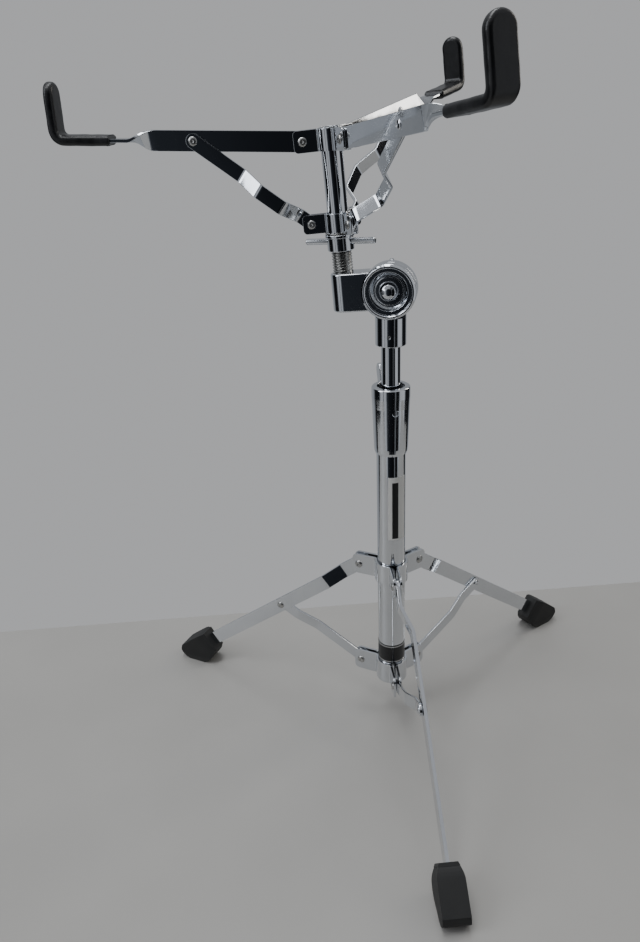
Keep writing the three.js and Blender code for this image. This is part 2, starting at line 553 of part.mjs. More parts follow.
const armRise = rad(ARM_UP);
const armEnd = [ARM_PIVOT_R + ARM_BRACE_AT * Math.cos(armRise), highZ + ARM_BRACE_AT * Math.sin(armRise)];
const armBraceL = Math.hypot(armEnd[0] - ARM_PIVOT_R, armEnd[1] - lowZ);
const armBraceRise = Math.atan2(armEnd[1] - lowZ, armEnd[0] - ARM_PIVOT_R) * 180 / Math.PI;
const armBraceSide = ARM_T / 2 + RUN + ARM_BRACE_T / 2;
const fingerTop = FINGER_H + 4;

// Rings of a finger's round tip, down from its top.
const TIP = [9, 6, 3.5, 1.6, 0.5, 0];

function armBody(grow, top, end) {
  const path = armPath(end, TIP.map((down) => top - down));
  return loft(path.map((at) => ring(at, domed(at[1], top, ARM_W) + 2 * grow, ARM_T + 2 * grow, 0)));
}
function sleeveBody() {
  const path = armPath(SLEEVE_AT, TIP.map((down) => fingerTop - down));
  return loft(path.map((at) => ring(at, domed(at[1], fingerTop, SLEEVE_W),
    SLEEVE_T - Math.max(at[1] - fingerTop + 1.6, 0), 2)));
}

function armSet(name, turn) {
  const spin = [...basket, turnZ(turn)];
  const pivot = move(ARM_PIVOT_R, 0, highZ);
  const raised = [...spin, pivot, turnY(-ARM_UP)];
  const whole = armBody(0, fingerTop - 3, -ARM_W);
  const rounded = plate([...capsule(0, 0, 1, 0, ARM_W / 2).slice(9), [300, -20], [300, 80], [100, 80],
    [100, ARM_W / 2]], -40, 40);
  const holed = cut(whole.intersect(rounded), barY(ARM_PIN_R + RUN, -20, 20, SMALL));
  const tail = put(stud(1.4, ARM_T / 2 - 1.8, ARM_T / 2 - 0.1, ARM_PIN_HEAD, ARM_HEAD_HIGH),
    move(ARM_BRACE_AT, 0, 0), turnZ(180));
  add(`arm_${name}`, put(join(holed, tail), ...raised), CHROME);

  const sleeve = cut(sleeveBody(), armBody(0.12, fingerTop - 2.9, SLEEVE_AT - 8));
  add(`sleeve_${name}`, put(sleeve, ...raised), VINYL);

  const bends = [[11, 0], [25, ARM_BOW], [46, ARM_BOW], [62, armBraceSide]];
  const flat = strip(armBraceL, ARM_BRACE_W, ARM_BRACE_T, bends,
    [[0, ARM_PIN_R + RUN], [armBraceL, ARM_PIN_R + FIT]]);
  add(`arm_brace_${name}`, put(flat, ...spin, move(ARM_PIVOT_R, 0, lowZ), turnY(-armBraceRise)), CHROME);
  const top = armBraceSide + ARM_BRACE_T / 2;
  const joint = stud(ARM_PIN_R, top - ARM_BRACE_T, top + FIT, ARM_PIN_HEAD, ARM_HEAD_HIGH);
  add(`arm_joint_rivet_${name}`, put(joint, ...spin, move(ARM_PIVOT_R, 0, lowZ), turnY(-armBraceRise),
    move(armBraceL, 0, 0)), ZINC);

  add(`arm_rivet_${name}`, put(rivet(ARM_PIN_R, armGap + armEar.ear + FIT, ARM_PIN_HEAD, ARM_HEAD_HIGH),
    ...spin, pivot), ZINC);
  const low = rivet(ARM_PIN_R, armBraceGap + armEar.ear + FIT, ARM_PIN_HEAD, ARM_HEAD_HIGH);
  add(`arm_brace_rivet_${name}`, put(low, ...spin, move(ARM_PIVOT_R, 0, lowZ)), ZINC);
}
for (const [name, turn] of Object.entries(ARM_TURNS)) armSet(name, turn);

// ---- centre the stand over the origin, standing on the floor
const bounds = new THREE.Box3().setFromObject(group);
const middle = bounds.getCenter(new THREE.Vector3());
const shift = new THREE.Vector3(-middle.x, -middle.y, -bounds.min.z);
for (const mesh of group.children) mesh.geometry.translate(shift.x, shift.y, shift.z);

export default group;
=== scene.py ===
# %% [markdown]
# # A folding snare drum stand
# The stand is nearly all chromed steel: tubes, flat strips bent sideways, pressed collars, small castings
# and rivets, with rubber feet and vinyl fingers. Its sizes and its moving parts come ready made in a frame.
# Here each piece is made again as a metalworker would make it, in the place that the frame gives it.

# %% Load the frame
import json
import math

import bmesh
import bpy
from mathutils import Matrix, Vector, noise


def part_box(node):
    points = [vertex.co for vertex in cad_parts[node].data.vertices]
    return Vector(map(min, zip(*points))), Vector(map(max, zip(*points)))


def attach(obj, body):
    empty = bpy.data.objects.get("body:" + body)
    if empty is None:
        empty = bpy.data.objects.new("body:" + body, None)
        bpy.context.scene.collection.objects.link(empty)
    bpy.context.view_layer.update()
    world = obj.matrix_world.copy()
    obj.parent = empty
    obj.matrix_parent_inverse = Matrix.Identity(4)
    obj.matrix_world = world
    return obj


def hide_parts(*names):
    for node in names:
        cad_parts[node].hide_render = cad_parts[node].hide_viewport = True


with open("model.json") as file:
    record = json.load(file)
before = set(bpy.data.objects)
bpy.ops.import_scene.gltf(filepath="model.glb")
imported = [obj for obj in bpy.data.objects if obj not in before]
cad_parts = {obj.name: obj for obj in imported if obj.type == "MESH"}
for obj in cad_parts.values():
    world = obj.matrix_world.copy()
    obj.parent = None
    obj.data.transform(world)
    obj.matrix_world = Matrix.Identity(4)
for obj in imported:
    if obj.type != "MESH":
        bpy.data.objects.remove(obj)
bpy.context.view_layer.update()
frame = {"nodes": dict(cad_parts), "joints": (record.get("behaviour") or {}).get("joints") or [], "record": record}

MM = 0.001
BODIES = frame["record"]["behaviour"]["bodies"]
BODY_OF = {node: body for body, nodes in BODIES.items() for node in nodes}
JOINTS = {joint["name"]: joint for joint in frame["joints"]}

# %% [markdown]
# ## Local frames
# A part is far easier to shape about its own axis than where it ends up. The joints say where those axes
# are: a hinge gives a point and a sideways direction, and a slide gives the way up. Two directions make the
# third.

# %% Local frames from the joints
UP = Vector((0, 0, 1))


def axes_at(origin, side, up):
    """Frame with X outward, Y along side and Z as near to up as that leaves it."""
    out = side.cross(up).normalized()
    columns = [out, side.normalized(), out.cross(side).normalized()]
    turn = Matrix([[columns[c][r] for c in range(3)] for r in range(3)]).to_4x4()
    return Matrix.Translation(origin) @ turn


def at_joint(name, up, sign=1):
    joint = JOINTS[name]
    return axes_at(Vector(joint["pos_m"]), Vector(joint["axis"]) * sign, up)


LEAN = Vector(JOINTS["basket_fold_slide"]["axis"])
tube_low, tube_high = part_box("base_tube")
STAND = Matrix.Translation(((tube_low.x + tube_high.x) / 2, (tube_low.y + tube_high.y) / 2, 0))
HEAD = at_joint("basket_tilt", LEAN)
MAST = at_joint("basket_tilt", UP)
across = LEAN.cross(Vector(JOINTS["basket_tilt"]["axis"]).cross(LEAN))
BASKET = axes_at(Vector(JOINTS["tee_nut_turn"]["pos_m"]), across, LEAN)
print("stand axis", STAND.translation, "basket axis", LEAN)


# %% Measure a node in any frame
def local_points(node, place):
    """A CAD node's corners in that frame, in millimetres."""
    back = place.inverted()
    return [back @ vertex.co / MM for vertex in frame["nodes"][node].data.vertices]


def span(node, place):
    """Lowest and highest corner of a CAD node in that frame, in millimetres."""
    points = local_points(node, place)
    low = Vector([min(point[i] for point in points) for i in range(3)])
    high = Vector([max(point[i] for point in points) for i in range(3)])
    return low, high


def slope(rivet, place):
    """Rise from that frame's origin to the middle of a rivet, and the distance."""
    low, high = span(rivet, place)
    middle = (low + high) / 2
    return math.atan2(middle.z, middle.x), math.hypot(middle.x, middle.z)


def raised(place, angle):
    """The frame turned about its own Y, so that X rises by angle."""
    return place @ Matrix.Rotation(-angle, 4, "Y")


# %% [markdown]
# ## Node trees
# A finish is a small network of nodes. `add` makes a node and plugs its inputs in. The short functions
# after it give the few things that every finish here is mixed from: patches of noise, a value graded
# between two limits, a blend of two colours and fine bumps. So each material below reads as a short list of
# what its surface does.

# %% Colours and nodes
def srgb(code):
    """Hex colour, as a paint chart gives it, to the linear values that light works in."""
    parts = [int(code[i:i + 2], 16) / 255 for i in (1, 3, 5)]
    return tuple(p / 12.92 if p <= 0.04045 else ((p + 0.055) / 1.055) ** 2.4 for p in parts) + (1.0,)


def plug(tree, node, inputs):
    """Fills a node's inputs; each is a value, or another node's output to link."""
    for key, value in inputs.items():
        if isinstance(value, bpy.types.NodeSocket):
            tree.links.new(value, node.inputs[key])
        else:
            node.inputs[key].default_value = value


def add(tree, kind, inputs=None, **settings):
    """One node with its settings and its inputs."""
    node = tree.nodes.new(kind)
    for key, value in settings.items():
        setattr(node, key, value)
    plug(tree, node, inputs or {})
    return node


def new_material(name):
    material = bpy.data.materials.new(name)
    material.use_nodes = True
    tree = material.node_tree
    tree.nodes.clear()
    shader = add(tree, "ShaderNodeBsdfPrincipled")
    add(tree, "ShaderNodeOutputMaterial", {"Surface": shader.outputs["BSDF"]})
    place = add(tree, "ShaderNodeTexCoord").outputs["Object"]
    return material, tree, shader, place


def patches(tree, place, size, detail, **inputs):
    """Noise in patches of about size millimetres, on coordinates in metres."""
    settings = {"Vector": place, "Scale": 1 / (size * MM), "Detail": detail, **inputs}
    return add(tree, "ShaderNodeTexNoise", settings).outputs["Fac"]


def graded(tree, value, low, high, start=0.0, end=1.0):
    """Goes from low to high as value goes from start to end."""
    settings = {"Value": value, "From Min": start, "From Max": end, "To Min": low, "To Max": high}
    return add(tree, "ShaderNodeMapRange", settings).outputs["Result"]


def blend(tree, share, first, second):
    """The first colour where share is 0, the second where it is 1: hex codes, or outputs of nodes."""
    first, second = (srgb(colour) if isinstance(colour, str) else colour for colour in (first, second))
    mix = add(tree, "ShaderNodeMix", {"Factor": share, "A": first, "B": second}, data_type="RGBA")
    return mix.outputs["Result"]


def bumps(tree, height, depth, strength=1.0):
    """Normal of a skin that rises and falls by about depth millimetres."""
    settings = {"Height": height, "Strength": strength, "Distance": depth * MM}
    return add(tree, "ShaderNodeBump", settings).outputs["Normal"]


def maths(tree, operation, first, second):
    return add(tree, "ShaderNodeMath", {0: first, 1: second}, operation=operation).outputs[0]


def height_of(tree, place):
    return add(tree, "ShaderNodeSeparateXYZ", {"Vector": place}).outputs["Z"]


# %% [markdown]
# ## Chromium plate
# Decorative chrome is a thin hard mirror over polished steel. It has almost no colour of its own: what
# shows is the room, drawn out into streaks along the tubes. Two things keep it from looking like a perfect
# mirror: the steel under it was polished by hand, so it waves very slightly, and fingers leave patches that
# are duller.

# %% Chromium plate
def chromium_plate(name, wave, wave_depth, rough_clean, rough_smudged):
    """wave and wave_depth are the length and height of the polisher's waves, in millimetres."""
    material, tree, shader, place = new_material(name)
    smudge = patches(tree, place, 26, 4.0, Roughness=0.6)
    plug(tree, shader, {
        "Metallic": 1.0,
        "Base Color": blend(tree, smudge, "#dfe2e6", "#cdd0d4"),
        "Roughness": graded(tree, smudge, rough_clean, rough_smudged, 0.42, 0.72),
        "Normal": bumps(tree, patches(tree, place, wave, 1.0), wave_depth)})
    return material


CHROME_TUBE = chromium_plate("chromium_on_drawn_tube", 30, 0.02, 0.045, 0.10)
CHROME_STRIP = chromium_plate("chromium_on_bent_strip", 14, 0.035, 0.055, 0.13)
CHROME_CAST = chromium_plate("chromium_on_casting", 9, 0.02, 0.06, 0.14)
print("chrome finishes:", CHROME_TUBE.name, CHROME_STRIP.name, CHROME_CAST.name)

# %% [markdown]
# ## Zinc plated steel
# Rivets, the threaded rod and the washer are zinc plated: greyer than chrome, with a soft sheen instead of
# a mirror, and a fine grain from the plating bath.

# %% Zinc plated steel
def zinc_plated_steel():
    material, tree, shader, place = new_material("zinc_plated_steel")
    cloud = patches(tree, place, 5, 5.0)
    plug(tree, shader, {
        "Metallic": 1.0,
        "Base Color": blend(tree, cloud, "#c9c8c4", "#9fa0a0"),
        "Roughness": graded(tree, cloud, 0.2, 0.38),
        "Normal": bumps(tree, patches(tree, place, 0.4, 2.0), 0.02, strength=0.3)})
    return material


ZINC = zinc_plated_steel()

# %% [markdown]
# ## Moulded rubber
# The feet are compression moulded rubber, nearly black and dull, with a fine cast grain. Rubber picks up
# pale dust where it meets the floor, so the colour lifts towards the sole and in blotches.

# %% Moulded rubber
def moulded_rubber():
    material, tree, shader, place = new_material("moulded_rubber")
    blotch = patches(tree, place, 9, 6.0, Roughness=0.65)
    near_floor = graded(tree, height_of(tree, place), 0.55, 0.12, 0.0, 7 * MM)
    dust = maths(tree, "MULTIPLY", blotch, near_floor)
    plug(tree, shader, {
        "Base Color": blend(tree, dust, "#151617", "#6b6a66"),
        "Roughness": graded(tree, blotch, 0.55, 0.78),
        "IOR": 1.52,
        "Normal": bumps(tree, patches(tree, place, 0.7, 3.0), 0.08, strength=0.5)})
    return material


RUBBER = moulded_rubber()

# %% [markdown]
# ## Dipped vinyl
# The fingers are covered with soft PVC. It is black with a satin gloss, slightly uneven because it was
# dipped or pushed on warm, and its colour turns a little grey where hands and drum rims have rubbed it.

# %% Dipped vinyl
def dipped_vinyl():
    material, tree, shader, place = new_material("dipped_vinyl")
    rub = patches(tree, place, 16, 5.0, Distortion=0.6)
    worn = graded(tree, rub, 0.0, 1.0, 0.45, 0.8)
    plug(tree, shader, {
        "Base Color": blend(tree, worn, "#101113", "#2c2b2f"),
        "Roughness": graded(tree, rub, 0.22, 0.46),
        "IOR": 1.53,
        "Normal": bumps(tree, patches(tree, place, 6, 2.0), 0.25, strength=0.7)})
    return material


VINYL = dipped_vinyl()

# %% [markdown]
# ## Nylon, badge foil and label film
# The bush in the clamp is black nylon. The badge band is a gloss foil with thin silver lines along both
# edges. The label is a white film with a plain black bar up one side. Lines and bar are drawn from real
# sizes: height for the band, and the angle round the tube for the label.

# %% Black nylon
def black_nylon():
    material, tree, shader, place = new_material("black_nylon")
    speck = patches(tree, place, 1.5, 3.0)
    plug(tree, shader, {
        "Base Color": blend(tree, speck, "#18191b", "#222326"),
        "Roughness": 0.45,
        "IOR": 1.53})
    return material


NYLON = black_nylon()


# %% Badge foil
FOIL_EDGE, FOIL_LINE = 1.3 * MM, 0.8 * MM


def between(tree, value, low, high):
    """1 where value lies between low and high, otherwise 0."""
    above = maths(tree, "GREATER_THAN", value, low)
    below = maths(tree, "LESS_THAN", value, high)
    return maths(tree, "MULTIPLY", above, below)


def badge_foil():
    material, tree, shader, place = new_material("printed_badge_foil")
    low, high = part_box("badge_band")
    height = height_of(tree, place)
    lower = between(tree, height, low.z + FOIL_EDGE, low.z + FOIL_EDGE + FOIL_LINE)
    upper = between(tree, height, high.z - FOIL_EDGE - FOIL_LINE, high.z - FOIL_EDGE)
    lines = maths(tree, "ADD", lower, upper)
    black = blend(tree, patches(tree, place, 4, 3.0), "#0b0b0d", "#1b1b1e")
    plug(tree, shader, {
        "Base Color": blend(tree, lines, black, "#d8d9da"),
        "Metallic": lines,
        "Roughness": 0.22})
    return material


BADGE = badge_foil()


# %% Label film
BAR_FROM, BAR_TO = -95, -70
BAR_ABOVE_EDGE, BAR_BELOW_TOP = 1.5 * MM, 5 * MM


def label_film():
    """White film; its bar lies between two angles round the tube, in degrees, and two heights."""
    material, tree, shader, place = new_material("label_film")
    low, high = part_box("label_sticker")
    from_axis = {"Vector": place, "Location": -STAND.translation}
    centre = add(tree, "ShaderNodeMapping", from_axis).outputs["Vector"]
    turn = add(tree, "ShaderNodeTexGradient", {"Vector": centre}, gradient_type="RADIAL").outputs["Fac"]
    round_bar = between(tree, turn, (BAR_FROM + 180) / 360, (BAR_TO + 180) / 360)
    up_bar = between(tree, height_of(tree, place), low.z + BAR_ABOVE_EDGE, high.z - BAR_BELOW_TOP)
    bar = maths(tree, "MULTIPLY", round_bar, up_bar)
    white = blend(tree, patches(tree, place, 0.8, 4.0), "#f4f3ef", "#e3e2dd")
    plug(tree, shader, {"Base Color": blend(tree, bar, white, "#161616"), "Roughness": 0.55})
    return material


LABEL = label_film()
print("other finishes:", ", ".join(m.name for m in (ZINC, RUBBER, VINYL, NYLON, BADGE, LABEL)))

# %% [markdown]
# ## Handing a shape over
# Every piece ends the same way: its shape moves to its real place, its surface is smoothed except at real
# edges, and it rides on the body of the node that it stands for. A weighted-normal modifier keeps flat
# faces flat up to their rounded edges, which matters on a mirror.

# %% Hand over a piece
made = []


def hand_over(shape, node, place, material, sharp=32):
    """Turns a bmesh in millimetres into the visible piece for that CAD node."""
    bmesh.ops.remove_doubles(shape, verts=shape.verts, dist=0.0005)
    bmesh.ops.recalc_face_normals(shape, faces=shape.faces)
    bmesh.ops.transform(shape, matrix=place @ Matrix.Scale(MM, 4), verts=shape.verts)
    for face in shape.faces:
        face.smooth = True
    mesh = bpy.data.meshes.new(node + "_piece")
    shape.to_mesh(mesh)
    shape.free()
    mesh.set_sharp_from_angle(angle=math.radians(sharp))
    mesh.materials.append(material)
    piece = bpy.data.objects.new(node + "_piece", mesh)
    bpy.context.scene.collection.objects.link(piece)
    even = piece.modifiers.new("even_normals", "WEIGHTED_NORMAL")
    even.keep_sharp = True
    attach(piece, BODY_OF[node])
    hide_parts(node)
    made.append(piece)
    return piece


# %% [markdown]
# ## Turning
# Tubes, nuts, rivets and discs are turned: half a section is drawn once and spun round the axis. Real
# corners are never knife sharp, so a corner of the section may carry a radius, and an arc takes its place.

# %% Sections with rounded corners
ARC_STEPS = 4


def rounded(section, closed):
    """Plain points from [(r, z, radius), ...], with an arc at each corner that has a radius."""
    out = []
    count = len(section)
    for i, (r, z, radius) in enumerate(section):
        here = Vector((r, z))
        if not radius or (not closed and i in (0, count - 1)):
            out.append(here)
            continue
        before = Vector(section[i - 1][:2]) - here
        after = Vector(section[(i + 1) % count][:2]) - here
        half = before.angle(after) / 2
        reach = min(radius / math.tan(half), before.length * 0.49, after.length * 0.49)
        start, end = here + before.normalized() * reach, here + after.normalized() * reach
        for step in range(ARC_STEPS + 1):
            t = step / ARC_STEPS
            out.append(start * (1 - t) ** 2 + here * 2 * t * (1 - t) + end * t ** 2)
    return out


def turned(section, closed=False, steps=96):
    """Spins a section, [(radius, height, corner radius), ...], round Z."""
    shape = bmesh.new()
    points = [shape.verts.new((p.x, 0, p.y)) for p in rounded(section, closed)]
    wire = [shape.edges.new(pair) for pair in zip(points, points[1:])]
    if closed:
        wire.append(shape.edges.new((points[-1], points[0])))
    bmesh.ops.spin(shape, geom=points + wire, cent=(0, 0, 0), axis=(0, 0, 1), angle=math.tau, steps=steps,
                   use_merge=True)
    bmesh.ops.remove_doubles(shape, verts=shape.verts, dist=0.0005)
    return shape


def pipe(radius, bore, low, high, edge=0.3, steps=96):
    """A plain tube with its four edges eased."""
    section = [(bore, low, edge), (radius, low, edge), (radius, high, edge), (bore, high, edge)]
    return turned(section, closed=True, steps=steps)


def solid_bar(radius, low, high, low_edge=0, high_edge=0, steps=96):
    """A solid bar, each of its two rims rounded by its own radius."""
    section = [(0, low, 0), (radius, low, low_edge), (radius, high, high_edge), (0, high, 0)]
    return turned(section, steps=steps)


# %% Move a shape
TO_X = Matrix.Rotation(math.radians(90), 4, "Y")
TO_Y = Matrix.Rotation(math.radians(-90), 4, "X")


def placed(shape, move):
    bmesh.ops.transform(shape, matrix=move, verts=shape.verts)
    return shape


def shifted(shape, way):
    bmesh.ops.translate(shape, verts=shape.verts, vec=way)
    return shape


def along_y(shape):
    """Lays a part that was turned about Z along Y, its top towards +Y."""
    return placed(shape, TO_Y)


# %% [markdown]
# ## Joining and cutting solids
# A casting is one solid, but it is easiest to think of as simple solids joined or cut away. A Boolean
# modifier does that, and its result is read back into a bmesh. Plates are one face drawn out, and wings and
# lugs are a skin drawn tight over simpler shapes.

# %% Boolean
def boolean(shape, tool, operation):
    """shape joined with tool (UNION) or cut by it (DIFFERENCE)."""
    solids = []
    for source in (shape, tool):
        bmesh.ops.recalc_face_normals(source, faces=source.faces)
        mesh = bpy.data.meshes.new("solid")
        source.to_mesh(mesh)
        source.free()
        solids.append(bpy.data.objects.new("solid", mesh))
        bpy.context.scene.collection.objects.link(solids[-1])
    change = solids[0].modifiers.new("change", "BOOLEAN")
    change.object, change.operation, change.solver = solids[1], operation, "EXACT"
    result = bmesh.new()
    graph = bpy.context.evaluated_depsgraph_get()
    result.from_mesh(solids[0].evaluated_get(graph).to_mesh())
    for solid in solids:
        mesh = solid.data
        bpy.data.objects.remove(solid)
        bpy.data.meshes.remove(mesh)
    return result


def round_edges(shape, edges, radius, segments, clamp=True):
    bmesh.ops.bevel(shape, geom=edges, affect="EDGES", offset=radius, offset_type="OFFSET", segments=segments,
                    profile=0.5, material=-1, clamp_overlap=clamp)


def soften(shape, radius, angle, segments):
    """Rounds every edge whose faces meet more sharply than angle, in degrees."""
    sharp = [e for e in shape.edges if len(e.link_faces) == 2 and e.calc_face_angle() > math.radians(angle)]
    round_edges(shape, sharp, radius, segments)
    return shape


# %% Cut by a plane, draw out, wrap
def cut_across(shape, point, normal, near=1e-5, **settings):
    """Divides every edge and face that a plane crosses; corners within near of it count as on it."""
    bmesh.ops.bisect_plane(shape, geom=shape.verts[:] + shape.edges[:] + shape.faces[:], dist=near,
                           plane_co=point, plane_no=normal, **settings)


def draw_out(shape, axis, thick, ease, segments, clamp):
    """Makes a plate of the one flat face: draws it out along axis 1 (Y) or 2 (Z) and eases its rims."""
    grown = bmesh.ops.extrude_face_region(shape, geom=shape.faces[:])["geom"]
    way = [thick if i == axis else 0 for i in range(3)]
    bmesh.ops.translate(shape, vec=way, verts=[v for v in grown if isinstance(v, bmesh.types.BMVert)])
    bmesh.ops.recalc_face_normals(shape, faces=shape.faces)
    rims = [e for e in shape.edges if abs(e.verts[0].co[axis] - e.verts[1].co[axis]) < 1e-6]
    round_edges(shape, rims, ease, segments, clamp)


def tight_skin(shape):
    """The convex hull of a shape, as a skin drawn tight over it."""
    bmesh.ops.delete(shape, geom=shape.edges[:], context="EDGES_FACES")
    bmesh.ops.convex_hull(shape, input=shape.verts[:])
    bmesh.ops.delete(shape, geom=[v for v in shape.verts if not v.link_faces], context="VERTS")
    return shape


# %% [markdown]
# ## Blanks and bends
# Legs, braces, arms and collars are cut flat from strip and then bent. The blank is one face with rounded
# corners, made thick, its edges eased, and cut across wherever it will bend. `bend` then lays it along a
# path: the path says where the middle line goes, which way the width points and which way the thickness
# points.

# %% A flat blank
def blank(start, end, width, thick, corners, ease, stations, segments=2):
    """Flat strip along X from start to end. corners are the corner radii at its start and its end."""
    shape = bmesh.new()
    plan = ((start, -width / 2), (end, -width / 2), (end, width / 2), (start, width / 2))
    corner = [shape.verts.new((x, y, -thick / 2)) for x, y in plan]
    shape.faces.new(corner)
    for pair, radius in (((corner[0], corner[3]), corners[0]), ((corner[1], corner[2]), corners[1])):
        bmesh.ops.bevel(shape, geom=list(pair), affect="VERTICES", offset=min(radius, width * 0.495),
                        offset_type="OFFSET", segments=8, profile=0.5, material=-1)
    draw_out(shape, 2, thick, ease, segments, clamp=False)
    for x in stations:
        if start < x < end:
            cut_across(shape, (x, 0, 0), (1, 0, 0))
    return shape


def bend(shape, path):
    """Lays a blank along a path: path(x) gives its middle, its width's way and its thickness's way."""
    for vertex in shape.verts:
        x, y, z = vertex.co
        middle, across, through = path(x)
        vertex.co = middle + across * y + through * z
    return shape


# %% A sideways set with soft bends
def ramp(x, start, end, soft=1.6):
    """0 before start, 1 after end, straight between, with bends of about soft millimetres."""
    total = 0
    for k in range(-4, 5):
        total += min(max((x + soft * k / 4 - start) / (end - start), 0), 1)
    return total / 9


def bend_stations(*spans, soft=1.6):
    """Where a strip is cut across so that its bends come out round."""
    out = []
    for start, end in spans:
        for edge in (start, end):
            out += [edge + soft * k / 3 for k in range(-4, 5)]
    return sorted(out)


def sideways(offset, slope_step=0.05):
    """Path of a strip on edge that runs along X and is set sideways, in Y, by offset(x)."""
    def path(x):
        slope = (offset(x + slope_step) - offset(x - slope_step)) / (2 * slope_step)
        heading = Vector((1, slope, 0)).normalized()
        through = Vector((-heading.y, heading.x, 0))
        return Vector((x, offset(x), 0)), Vector((0, 0, 1)), through
    return path


# %% [markdown]
# ## The base tube and what is stuck on it
# The tube is drawn and plated, open at the bottom. The foil band and the label are films a sixth of a
# millimetre thick, so they are thin turned rings; the label is only the part of a ring between two planes.

# %% Base tube, badge band, label
WALL = 1.2
low, high = span("base_tube", STAND)
BASE_R = high.x
hand_over(pipe(BASE_R, BASE_R - WALL, low.z, high.z, 0.35, 128), "base_tube", STAND, CHROME_TUBE)

low, high = span("badge_band", STAND)
hand_over(pipe(high.x, BASE_R + 0.03, low.z, high.z, 0.05, 128), "badge_band", STAND, BADGE)

low, high = span("label_sticker", STAND)
LABEL_MIDDLE, LABEL_HALF = math.radians(17), math.radians(38)
ring = pipe(BASE_R + 0.2, BASE_R + 0.03, low.z, high.z, 0.03, 192)
for side in (-1, 1):
    edge_angle = LABEL_MIDDLE + side * LABEL_HALF - math.radians(90)
    normal = Vector((math.sin(edge_angle), -math.cos(edge_angle), 0)) * -side
    cut_across(ring, (0, 0, 0), normal, clear_outer=True)
    bmesh.ops.holes_fill(ring, edges=[e for e in ring.edges if e.is_boundary], sides=0)
hand_over(ring, "label_sticker", STAND, LABEL)
print("base tube radius", round(BASE_R, 2), "mm")

# %% [markdown]
# ## Pressed collars
# A collar is three bent sheets that hug the tube and meet in pairs as ears, with the strip between them.
# Each sheet runs straight in along one ear, round a small bend, along the tube, round the next bend and out
# along the neighbouring ear. The blank is straight; its path in plan is made of those five lengths.

# %% Several shells in one piece
def merged(*shapes):
    """One bmesh that holds several closed shells."""
    whole = bmesh.new()
    for shape in shapes:
        mesh = bpy.data.meshes.new("shell")
        shape.to_mesh(mesh)
        shape.free()
        whole.from_mesh(mesh)
        bpy.data.meshes.remove(mesh)
    return whole


# %% Path of one collar sheet
BEND_STEPS, ROUND_STEPS = 8, 24


def collar_path(radius, offset, end, fillet, spread):
    """Plan of one sheet, from an ear at angle 0 to the next ear at angle spread."""
    centre_x = math.sqrt((radius + fillet) ** 2 - (offset + fillet) ** 2)
    touch = math.atan2(offset + fillet, centre_x)
    half = [Vector((end, offset)), Vector(((end + centre_x) / 2, offset)), Vector((centre_x, offset))]
    sweep = math.pi / 2 - touch
    for k in range(1, BEND_STEPS + 1):
        a = -math.pi / 2 - sweep * k / BEND_STEPS
        half.append(Vector((centre_x, offset + fillet)) + Vector((math.cos(a), math.sin(a))) * fillet)
    for k in range(1, ROUND_STEPS + 1):
        a = touch + (spread / 2 - touch) * k / ROUND_STEPS
        half.append(Vector((math.cos(a), math.sin(a))) * radius)
    mirror = Vector((math.cos(spread / 2), math.sin(spread / 2)))
    other = [2 * mirror * p.dot(mirror) - p for p in reversed(half[:-1])]
    return half + other


def laid_on(points):
    """Path for bend() that follows plan points, the width upright."""
    lengths = [0.0]
    for a, b in zip(points, points[1:]):
        lengths.append(lengths[-1] + (b - a).length)

    def path(x):
        i = 0
        while i < len(points) - 2 and lengths[i + 1] < x:
            i += 1
        share = (x - lengths[i]) / (lengths[i + 1] - lengths[i])
        here = points[i].lerp(points[i + 1], share)
        heading_in = points[i + 1] - points[i]
        nearer = i - 1 if share < 0.5 else i + 1
        nearer = min(max(nearer, 0), len(points) - 2)
        other = points[nearer + 1] - points[nearer]
        weight = abs(share - 0.5)
        heading = (heading_in.normalized() * (1 - weight) + other.normalized() * weight).normalized()
        return Vector((here.x, here.y, 0)), Vector((0, 0, 1)), Vector((-heading.y, heading.x, 0))
    return path, lengths


def pressed_collar(node, place, ear_turns, gap, bore, sheet, fillet, corner, boss=None):
    """Three sheets round the tube; the two ears of a pair stand gap to each side of their direction."""
    low, high = span(node, place)
    tall, end = high.z - low.z, max(p.xy.length for p in local_points(node, place))
    shells = [boss] if boss else []
    turns = sorted(a % math.tau for a in ear_turns)
    for i, start in enumerate(turns):
        spread = (turns[(i + 1) % 3] - start) % math.tau
        path, lengths = laid_on(collar_path(bore + sheet / 2, gap + sheet / 2, end, fillet, spread))
        strip = blank(0, lengths[-1], tall, sheet, (corner, corner), 0.35, lengths[1:-1])
        turn = Matrix.Translation((0, 0, (low.z + high.z) / 2)) @ Matrix.Rotation(start, 4, "Z")
        shells.append(placed(bend(strip, path), turn))
    return hand_over(merged(*shells), node, place, CHROME_STRIP)


# %% The two leg collars
LEGS, ARMS = ("front", "right", "left"), ("left", "front", "back")


def directions(joint_name, names, place):
    """Angles round Z at which the pivots of these joints stand."""
    out = []
    for name in names:
        point = place.inverted() @ Vector(JOINTS[joint_name.format(name)]["pos_m"])
        out.append(math.atan2(point.y, point.x))
    return out


# Half of the slot between a pair of ears, and how the sheets are pressed, in millimetres.
LEG_GAP, LEG_BRACE_GAP, ARM_GAP, ARM_BRACE_GAP = 1.8, 1.55, 1.55, 1.4
LEG_SHEET = {"sheet": 2.2, "fillet": 2.6, "corner": 5}
ARM_SHEET = {"sheet": 1.6, "fillet": 1.8, "corner": 3}
SLIDE_BOSS_R, SLIDE_BOSS_BORE, SLIDE_BOSS_OUT = 5.6, 3.3, 21

